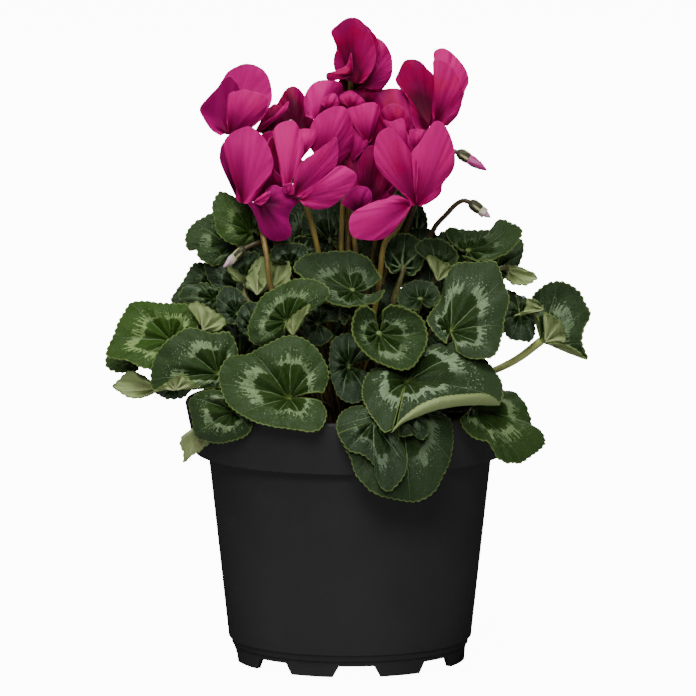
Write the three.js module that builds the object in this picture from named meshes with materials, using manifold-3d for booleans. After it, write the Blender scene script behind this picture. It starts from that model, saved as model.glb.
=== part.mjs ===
// Potted cyclamen: a black grower's pot with soil, the tuber, heart leaves, magenta flowers and buds.
// Millimetres, +Z up, the viewer stands at -Y.
// The origin is under the pot's axis, on the surface that the pot stands on.
import * as THREE from "three";
import { mergeVertices } from "three/addons/utils/BufferGeometryUtils.js";
import Module from "manifold-3d";

const wasm = await Module();
wasm.setup();

// Driving dimensions of the pot
const potHeight = 104.4;
const lipRadius = 66;
const lipDepth = 20.6;
const lipFlare = 4;
const bodyTopRadius = 56.8;
const bodyFootRadius = 48.8;
const footRadius = 46.4;
const footHeight = 8;
const potWall = 1.3;
const potSides = 36;

// Driving dimensions of what stands in the pot
const soilBelowRim = 13;
const tuberRadius = 24;
const tuberRise = 3;
const gap = 0.3;

// Driving dimensions of the plant
const viewTilt = THREE.MathUtils.degToRad(8);
const bladeThickness = 0.7;
const petalThickness = 0.65;
const petioleRadius = 1.0;
const flowerStemRadius = 1.2;
const crownHeight = potHeight - soilBelowRim + tuberRise;

// A place given as the front view shows it: across, up the picture, and back from the pot's axis.
function seen([across, up, back]) {
  return new THREE.Vector3(across, back, (up - back * Math.sin(viewTilt)) / Math.cos(viewTilt));
}

// A solid for cutting and joining, from a closed geometry.
function solidOf(geometry) {
  const bare = new THREE.BufferGeometry();
  bare.setAttribute("position", geometry.getAttribute("position"));
  bare.setIndex(geometry.index);
  const merged = mergeVertices(bare, 1e-4);
  return new wasm.Manifold(new wasm.Mesh({
    numProp: 3,
    vertProperties: new Float32Array(merged.attributes.position.array),
    triVerts: new Uint32Array(merged.index.array),
  }));
}

// The geometry of a solid that has been cut or joined.
function geometryOf(solid) {
  const mesh = solid.getMesh();
  const geometry = new THREE.BufferGeometry();
  geometry.setAttribute("position", new THREE.BufferAttribute(new Float32Array(mesh.vertProperties), 3));
  geometry.setIndex(new THREE.BufferAttribute(new Uint32Array(mesh.triVerts), 1));
  geometry.computeVertexNormals();
  return geometry;
}

// Joined pieces, without the slivers of space that crossing blades shut in.
function joined(solids) {
  const bodies = solids.reduce((whole, part) => whole.add(part)).decompose();
  return bodies.reduce((best, body) => (body.volume() > best.volume() ? body : best));
}

function lathe(profile, sides) {
  const points = profile.map(([radius, height]) => new THREE.Vector2(radius, height));
  return new THREE.LatheGeometry(points, sides).rotateX(Math.PI / 2);
}

// A blade is a fan from where its stalk meets it out to its rim, slit between the first and last spoke.
// The rim is listed counterclockwise as the upper side is seen. Bulge lifts the middle towards that side.
const waveDepth = 0.4;

function bladeShape({ at, rim, bulge = 2, push = 0 }) {
  const place = (point) => (point.isVector3 ? point : seen([point[0], point[1], point[2] + push]));
  const centre = place(at);
  const points = rim.map(place);
  const normal = new THREE.Vector3();
  for (let i = 0; i + 1 < points.length; i += 1) {
    const first = points[i].clone().sub(centre);
    const second = points[i + 1].clone().sub(centre);
    normal.add(first.cross(second));
  }
  normal.normalize();
  const wave = (i) => (i % 2 === 0 ? waveDepth : -waveDepth);
  const middle = points.map((point) => centre.clone().lerp(point, 0.5).addScaledVector(normal, bulge));
  const edge = points.map((point, i) => point.clone().addScaledVector(normal, wave(i)));
  return { centre, normal, points, rows: [middle, edge] };
}

// The blade as a closed solid: both faces are split into triangles alike.
function bladeSolid(spec, thickness) {
  const { centre, normal, rows } = bladeShape(spec);
  const [middle, rim] = rows;
  const half = normal.clone().multiplyScalar(thickness / 2);
  const upper = [centre, ...middle, ...rim].map((point) => point.clone().add(half));
  const lower = [centre, ...middle, ...rim].map((point) => point.clone().sub(half));
  const count = middle.length;
  const below = upper.length;
  const faces = [];
  const face = (a, b, c) => faces.push(a, b, c, c + below, b + below, a + below);
  const wall = (a, b) => faces.push(b, a, a + below, b, a + below, b + below);
  for (let i = 1; i < count; i += 1) {
    face(0, i, i + 1);
    face(i, i + count, i + count + 1);
    face(i, i + count + 1, i + 1);
    wall(i + count, i + count + 1);
  }
  wall(0, 1);
  wall(1, 1 + count);
  wall(count * 2, count);
  wall(count, 0);
  const geometry = new THREE.BufferGeometry();
  const places = [...upper, ...lower].flatMap((point) => point.toArray());
  geometry.setAttribute("position", new THREE.Float32BufferAttribute(places, 3));
  geometry.setIndex(faces);
  return solidOf(geometry);
}

// A round stalk along a curve.
function stalk(curve, radius, steps, sides = 5) {
  const section = new THREE.Shape();
  for (let i = 0; i < sides; i += 1) {
    const turn = (2 * Math.PI * i) / sides;
    const point = [radius * Math.cos(turn), radius * Math.sin(turn)];
    if (i === 0) section.moveTo(...point);
    else section.lineTo(...point);
  }
  section.closePath();
  return solidOf(new THREE.ExtrudeGeometry(section, { steps, bevelEnabled: false, extrudePath: curve }));
}

// Where a stalk leaves the tuber's crown: towards the place that it serves, further out for a lower one.
function crownPlace(target, spread) {
  const plan = new THREE.Vector3(target.x, target.y, 0);
  const reach = Math.min(plan.length() * spread, tuberRadius - 4);
  plan.setLength(reach);
  plan.z = crownHeight + gap;
  return plan;
}

const up = new THREE.Vector3(0, 0, 1);

function middleOf(points) {
  const sum = points.reduce((whole, point) => whole.add(point), new THREE.Vector3());
  return sum.divideScalar(points.length);
}

// A leaf is its blade with its stalk, which comes up from the crown and meets the underside.
// Stalks of one tuft stand side by side at the crown and grow together there.
const footStep = [0.4, 0.3, 0.1];

function leaf(spec, order = 0) {
  const { centre, normal, points } = bladeShape(spec);
  const blade = bladeSolid(spec, bladeThickness);
  const base = spec.from ? new THREE.Vector3(...spec.from, crownHeight + gap) : crownPlace(centre, 0.24);
  base.addScaledVector(new THREE.Vector3(...footStep), order);
  const span = centre.distanceTo(base);
  const rise = up.clone().multiplyScalar(span * 0.38);
  const away = spec.edgeOn ? middleOf(points).sub(centre).normalize() : normal;
  const under = away.clone().multiplyScalar(-(spec.neck ?? span * 0.25));
  const end = centre.clone().addScaledVector(away, spec.edgeOn ? 1.5 : 0.1);
  const curve = spec.via
    ? new THREE.CatmullRomCurve3([base, ...spec.via.map(seen), end], false, "catmullrom", 0.5)
    : new THREE.CubicBezierCurve3(base, base.clone().add(rise), centre.clone().add(under), end);
  return blade.add(stalk(curve, petioleRadius, 5, 4));
}

// Leaves that the front view shows, each as [across, up, back] places in that view.
const leaves = {
  leaf_left_pale: [{
    at: [-71, 126.8, -10], bulge: 2, from: [-17.5, -1],
    rim: [[-61, 131, -13], [-60.5, 138, -9], [-64.4, 141, -8], [-76, 142, -4], [-87.6, 142.4, -2],
      [-91, 137, -4],
      [-94, 129, -8], [-97, 121, -12], [-87.6, 118.4, -16], [-82, 115.6, -18], [-77, 115.8, -18],
      [-73, 121, -15]],
  }],
  leaf_left: [{
    at: [-52, 113.6, -27], bulge: 2,
    rim: [[-45, 117, -27], [-44.4, 122.4, -24], [-48, 130, -22], [-54, 129.6, -22], [-64, 132, -21],
      [-72, 127, -22],
      [-77, 121, -22], [-79, 113.2, -23], [-78, 107.5, -24], [-67.6, 107, -29], [-59, 107.8, -31],
      [-50, 108.8, -31],
      [-46, 111.5, -29]],
  }],
  leaf_left_turned: [{
    at: [-77, 108.2, -13], bulge: 2, edgeOn: true, from: [-20, -4.5],
    rim: [[-78, 105, -14], [-82, 104.2, -15], [-87, 104.4, -15], [-94, 108.8, -14], [-92, 113.2, -12],
      [-87.6, 114.4, -12], [-82, 113, -12], [-78, 110.5, -12]],
  }],
  leaf_left_low: [{
    at: [-45, 99.2, -49], bulge: 2.5,
    rim: [[-43, 103.5, -48], [-50, 106.8, -43], [-58, 107, -36], [-63, 103.2, -32], [-62.4, 96, -36],
      [-60.8, 89.2, -39], [-56, 87.2, -44], [-50, 86.8, -49], [-42, 89.2, -55], [-38, 93.2, -58],
      [-41, 97, -53]],
  }],
  leaf_left_tip: [{
    at: [-58.5, 104.5, -29], bulge: -1.5, edgeOn: true, from: [-16, -9.5],
    rim: [[-57.5, 96, -34], [-57, 88, -36], [-61, 81.6, -32], [-66.2, 78.8, -28], [-68.4, 83, -26],
      [-67.5, 90, -25],
      [-64, 99, -25]],
  }],
  leaf_front: [{
    at: [-23.6, 104, -52], bulge: 3,
    rim: [[-10.5, 106, -55], [-8.4, 114, -51], [-14.8, 125.2, -46], [-24, 128.8, -44], [-34.4, 124.4, -46],
      [-40, 121.6, -45], [-47.6, 120.5, -46], [-51.4, 114.4, -48], [-50.4, 107.2, -51], [-47, 100.8, -56],
      [-36.8, 94.8, -65], [-24, 92.2, -70], [-13, 91.4, -73], [-9.2, 98, -67], [-11.5, 103, -60]],
  }],
  leaf_front_drooping: [{
    at: [20, 99, -63.5], bulge: 3,
    rim: [[0.8, 101, -61], [-3.8, 98, -67], [-5.2, 93.2, -71], [-2.8, 87.2, -74], [0.4, 81.2, -76],
      [2, 75.2, -77],
      [6, 70, -78], [11.2, 66.4, -78], [20, 64.6, -77], [27.2, 64.8, -75], [32.8, 68, -73],
      [36.4, 74.4, -71],
      [39.2, 81.2, -68], [40.2, 89.2, -64], [38.5, 97, -58], [29, 101, -57]],
  }],
  leaf_front_right: [{
    at: [22, 110, -52], bulge: 4,
    rim: [[19.5, 95.5, -74], [28, 101.5, -73], [38, 104, -68], [48, 105, -60], [58.8, 104, -49],
      [60, 107, -44], [56, 116, -37], [48, 122.4, -34], [38, 125.2, -34], [28, 123.6, -36],
      [20, 121.2, -40],
      [14, 117.6, -44], [7.6, 114.4, -49], [5, 109.2, -56], [5.6, 103.2, -67], [8.8, 97, -73],
      [13.4, 90.4, -80],
      [16.8, 92, -77]],
  }],
  leaf_heart: [{
    at: [11.2, 130, -40], bulge: -3,
    rim: [[10, 138, -40], [6, 140.4, -40], [2.4, 138.4, -41], [0.8, 131.2, -44], [2.8, 125.6, -48],
      [10.4, 118.8, -54],
      [20.8, 115, -57], [24.8, 116.8, -56], [27.6, 121.2, -54], [30, 126.4, -51], [30, 131.2, -47],
      [28, 136, -44],
      [20, 140.4, -41], [16, 140.8, -40], [12.8, 138.6, -40]],
  }],
  leaf_right_low: [{
    at: [47.5, 100, -47], bulge: 2.5,
    rim: [[43, 96, -56], [44.8, 91.4, -59], [48.8, 88.4, -59], [53.6, 87, -57], [57.6, 80.4, -58],
      [65.2, 78.8, -52],
      [70, 80.4, -46], [76.4, 86, -36], [75, 91.6, -32], [72, 93, -30], [71, 97.2, -26], [68, 103.2, -22],
      [64.8, 106, -20], [60, 107, -24], [52, 105, -36]],
  }],
  leaf_right_upright: [{
    at: [39.6, 130.4, -30], bulge: 2,
    rim: [[42, 123, -41], [46, 120.8, -43], [56.4, 120.4, -41], [60, 129.2, -33], [61, 136, -28],
      [63, 143.2, -23],
      [61, 150, -19], [57.2, 158.4, -14], [51, 158, -13], [42, 156.8, -14], [38, 151.2, -17],
      [36, 143.2, -21],
      [32, 138.4, -27], [30.4, 134.4, -31], [34, 129, -36], [38, 125.5, -40]],
  }],
  leaf_left_upper: [{
    at: [-24.8, 134.4, -36], bulge: 2.5,
    rim: [[-14.5, 139, -41], [-9.6, 143, -41], [-8, 146.4, -40], [-13.6, 150.8, -36], [-22.4, 150.8, -32],
      [-29.2, 147.6, -31], [-35.2, 143.6, -32], [-37.6, 138.4, -34], [-40, 132, -36], [-39, 126.6, -37],
      [-33, 124.6, -39], [-28.8, 126, -39], [-25.5, 130, -38]],
  }],
  leaf_middle: [{
    at: [1, 147, -22], bulge: -2,
    rim: [[12.6, 151.6, -22], [10.8, 155, -17], [7.2, 160, -12], [0, 162.4, -9], [-8, 162.4, -9],
      [-18.8, 160, -12],
      [-22.4, 156.4, -16], [-16.8, 150, -25], [-8.8, 143.6, -31], [-4.8, 141.2, -34], [0, 140.2, -36],
      [6, 140.8, -35], [11.2, 143.2, -32], [14, 147, -27]],
  }],
  leaf_right_cup: [{
    at: [28, 143.6, -14], bulge: -1.5, from: [8.5, -3.5],
    rim: [[33, 140.4, -21], [36, 145, -12], [34, 149, -9], [28, 151.6, -6], [22, 149.2, -8],
      [18.8, 144.4, -14],
      [20.4, 140.8, -20], [26.8, 139.4, -24]],
  }],
  leaf_far_right: [{
    at: [76.4, 126.8, 0], bulge: -2,
    via: [[20, 104, 0], [50, 112, 3], [66, 119, 3]],
    rim: [[79.2, 125.6, -4], [84, 125.6, -6], [90, 123.2, -8], [94.8, 119.2, -8], [92.6, 126, -6],
      [93.6, 132, -4],
      [96, 137, -2], [93.6, 143, 2], [92, 146.4, 3], [86, 150, 5], [80, 150.2, 6], [74.4, 146.4, 3],
      [72.4, 142, -2],
      [75.6, 134.5, -3]],
  }],
  leaf_right_top: [{
    at: [47.2, 163.2, 5], bulge: -2,
    rim: [[44.8, 160.8, 2], [52, 159.2, -2], [60, 160.8, -2], [66.8, 166, 2], [68.8, 170.8, 6],
      [64, 174.4, 12],
      [59.6, 175.6, 14], [56.8, 171, 13], [54, 171, 13], [48, 171.8, 14], [42, 172, 14], [38.8, 171, 12],
      [39.6, 167.4, 8], [42, 164.6, 5]],
  }],
  leaf_right_funnel: [{
    at: [34.6, 156, -3], bulge: -1.5,
    rim: [[37, 155.4, -5], [40.4, 156, -6], [43, 160.4, -6], [38.4, 166.4, -1], [32.8, 167.6, 1],
      [28, 167, 1],
      [26, 163.6, -1], [29.6, 160, -3]],
  }],
  leaf_right_behind: [{
    at: [68, 137, 4], bulge: 2, from: [17, 4.5],
    rim: [[63.6, 143, 8], [61.6, 138.4, 4], [61.4, 132.4, -1], [64, 128, -5], [69, 126.4, -6],
      [73, 128, -4],
      [74, 133, 1], [73, 140.4, 6], [70, 144.8, 9], [66, 145.2, 10]],
  }],
  leaf_top_left: [{
    at: [-39.6, 170, 4], bulge: 2, from: [-9, 2.5],
    rim: [[-36.6, 168.6, 2], [-37.2, 174.4, 5], [-40, 181, 8], [-45.6, 184, 9], [-51.6, 186.6, 9],
      [-54.8, 182, 6],
      [-54.4, 176, 3], [-51.2, 168, -1], [-44.5, 164.8, -2], [-38.4, 165, 0]],
  }],
  leaf_top_far_left: [{
    at: [-47.4, 163.8, 12], bulge: 2, from: [-9, 7.5],
    rim: [[-51, 173, 15], [-54.8, 178, 17], [-59.2, 176, 16], [-63.2, 173.6, 14], [-66, 168.4, 11],
      [-64.8, 163.2, 8],
      [-61.6, 163.4, 8], [-60.6, 160, 6], [-55.2, 157.2, 5], [-51.2, 157.8, 6], [-48, 160.6, 9]],
  }],
  leaves_inner_front: [{
    at: [-12.8, 133.2, -24], bulge: 2, from: [-2, -8],
    rim: [[-4.8, 134.4, -26], [-4.8, 139, -24], [-10, 141.4, -22], [-16, 141.2, -22], [-18.5, 137.2, -24],
      [-18.5, 130.4, -28], [-16.8, 125.6, -31], [-10, 125.6, -31], [-6.4, 128.8, -29]],
  }, {
    at: [0, 136, -28], bulge: 1, from: [-2, -8],
    rim: [[1.6, 133, -30], [4.4, 137.6, -29], [1, 140, -27.5], [-3.6, 139.4, -27.5], [-4, 135.4, -29],
      [-2, 132.6, -31]],
  }, {
    at: [-0.8, 116.4, -33], bulge: 2, from: [-2, -8],
    rim: [[8.8, 119.2, -32], [7.2, 126.6, -30], [0, 129.6, -29], [-6.4, 127.6, -31], [-8, 121.2, -34],
      [-7.6, 113.2, -38], [-4.8, 105.2, -43], [0.8, 102.4, -46], [7.2, 105.4, -43], [9.6, 112.4, -37]],
  }],
  leaves_inner_left: [{
    at: [-44.8, 137, -13], bulge: 1.5, from: [-9.5, -4.5],
    rim: [[-41.2, 143.2, -12], [-44.8, 147.2, -9], [-50, 148, -8], [-53, 143.2, -10], [-51.6, 136.6, -14],
      [-47.2, 133.4, -17], [-42, 134, -17]],
  }, {
    at: [-38.4, 132, -24], bulge: 1, from: [-9.5, -4.5],
    rim: [[-35.4, 136, -25], [-36.8, 141.6, -23], [-41.2, 142, -21], [-44, 138.4, -21], [-44.2, 132, -23],
      [-40.8, 129, -26]],
  }],
  leaves_middle_left: [{
    at: [-41.6, 148, -3], bulge: 1.5, from: [-8.5, -1],
    rim: [[-43.4, 150, -3], [-47.2, 152, -2], [-48.8, 156, -2], [-44.8, 161, -5], [-40, 161.6, -7],
      [-36, 158.4, -8],
      [-36.8, 153.2, -7], [-39, 149.6, -5]],
  }, {
    at: [-30.4, 148.4, -9], bulge: -1.5, from: [-8.5, -1],
    rim: [[-24.4, 149.4, -14], [-23.6, 155, -12], [-26, 160.4, -8], [-32, 161.6, -5], [-35, 158, -10],
      [-36.6, 152, -12], [-34.4, 148, -13]],
  }],
  leaves_behind_left: [{
    at: [-54, 148.4, 16], bulge: 2, from: [-12, 4.5],
    rim: [[-47.2, 154.4, 15], [-54, 157, 17], [-62, 158.4, 14], [-66.8, 151.2, 11], [-71.6, 142.4, 7],
      [-64, 141.4, 6], [-54, 142.4, 8], [-48, 147.2, 11]],
  }, {
    at: [-54, 143, 0], bulge: 2, from: [-12, 4.5],
    rim: [[-51.2, 147.4, 1], [-58, 149.6, 3], [-66, 148, 2], [-68.4, 144, 0], [-64, 141.6, -2],
      [-58, 139.6, -4],
      [-52, 139.6, -3]],
  }, {
    at: [-84, 121, 0], bulge: 1, from: [-12, 4.5],
    rim: [[-84, 126, 3], [-92, 125, 3], [-97, 121, 1], [-97.4, 116.5, -2], [-91, 114.4, -5],
      [-84.4, 115.4, -5]],
  }],
  leaves_behind_middle: [{
    at: [-8, 167, 8], bulge: 2, from: [0, 9],
    rim: [[-5.4, 163, 6], [-4.4, 168, 8], [-4.6, 175.2, 12], [-7.6, 181, 15], [-13, 182, 15],
      [-18.8, 177.2, 13],
      [-19, 169.2, 9]],
  }, {
    at: [-20, 162.4, 6], bulge: 1.5, from: [0, 9],
    rim: [[-21.5, 160, 3], [-23, 166, 6], [-21.2, 168.4, 8], [-15.4, 168, 8], [-12.4, 163.4, 5],
      [-16, 159.6, 3]],
  }],
  leaves_behind_right: [{
    at: [31, 170.4, 22], bulge: 2, from: [8, 8.5],
    rim: [[23.2, 171, 22], [24.8, 181.2, 26], [30, 182.4, 27], [36, 178, 26], [40, 171.4, 22],
      [34, 165, 19]],
  }, {
    at: [21, 156, 2], bulge: 2, from: [8, 8.5],
    rim: [[16.8, 153.4, -2], [13.8, 158.4, 0], [14.4, 165.2, 4], [19.2, 169.6, 7], [25.6, 168.8, 8],
      [29.2, 163.2, 6],
      [28.8, 157, 3], [24.8, 152.6, 0]],
  }],
  leaves_far_behind_right: [{
    at: [58, 154, 22], bulge: 2, from: [15.5, 10],
    rim: [[60, 150, 18], [68, 158, 20], [69.6, 167, 25], [60, 170, 28], [50, 168, 27], [46, 160, 24],
      [50, 151, 19]],
  }, {
    at: [63, 155.6, 8], bulge: 1, from: [15.5, 10],
    rim: [[62.4, 157.4, 9], [68, 156.4, 8], [75, 152.4, 6], [72, 150, 5], [66, 149.2, 5], [62, 152, 6]],
  }],
};

// Leaves at the back, by rule: each is a heart outline, given its azimuth and distance from the pot's axis,
// its height, its length from stalk to tip, and how far its blade droops and turns.
const heart = [[-160, 0.55], [-130, 0.7], [-95, 0.74], [-60, 0.79], [-28, 0.9], [0, 1], [28, 0.9],
  [60, 0.79],
  [95, 0.74], [130, 0.7], [160, 0.55]];

function heartLeaf({ azimuth, distance, height, length, droop, turn = 0, from }) {
  const angle = THREE.MathUtils.degToRad(azimuth);
  const out = new THREE.Vector3(Math.cos(angle), Math.sin(angle), 0);
  const at = out.clone().multiplyScalar(distance).setZ(height);
  const fall = THREE.MathUtils.degToRad(droop);
  const along = out.clone().multiplyScalar(Math.cos(fall)).addScaledVector(up, -Math.sin(fall));
  const face = out.clone().multiplyScalar(Math.sin(fall)).addScaledVector(up, Math.cos(fall));
  along.applyAxisAngle(face, THREE.MathUtils.degToRad(turn));
  const side = face.clone().cross(along);
  const rim = heart.map(([degrees, reach]) => {
    const spoke = THREE.MathUtils.degToRad(degrees);
    const curl = -0.12 * length * Math.sin(spoke) ** 2;
    return at.clone().addScaledVector(along, length * reach * Math.cos(spoke))
      .addScaledVector(side, length * reach * Math.sin(spoke)).addScaledVector(face, curl);
  });
  return { at, rim, bulge: 2, from };
}

const backLeaves = {
  leaves_back_right: [
    { azimuth: 36, distance: 56, height: 118, length: 23, droop: 42, from: [14, 13] },
    { azimuth: 46, distance: 43, height: 146, length: 18, droop: 26, turn: -8, from: [14, 13] },
  ],
  leaves_back_middle_right: [
    { azimuth: 69, distance: 63, height: 119, length: 24, droop: 42, turn: 6, from: [5, 16] },
    { azimuth: 86, distance: 44, height: 145, length: 18, droop: 28, turn: -10, from: [5, 16] },
    { azimuth: 62, distance: 31, height: 167, length: 15, droop: 18, turn: 8, from: [5, 16] },
    { azimuth: 74, distance: 31, height: 126, length: 13, droop: 50, from: [5, 16] },
  ],
  leaves_back_middle_left: [
    { azimuth: 106, distance: 62, height: 119, length: 24, droop: 41, turn: -4, from: [-5, 16] },
    { azimuth: 121, distance: 46, height: 145, length: 18, droop: 27, turn: 7, from: [-5, 16] },
    { azimuth: 100, distance: 33, height: 167, length: 14, droop: 22, turn: -3, from: [-5, 16] },
  ],
  leaves_back_left: [
    { azimuth: 141, distance: 57, height: 119, length: 23, droop: 44, turn: 6, from: [-14, 13] },
    { azimuth: 142, distance: 36, height: 166, length: 12, droop: 20, turn: 6, from: [-14, 13] },
  ],
};

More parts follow.
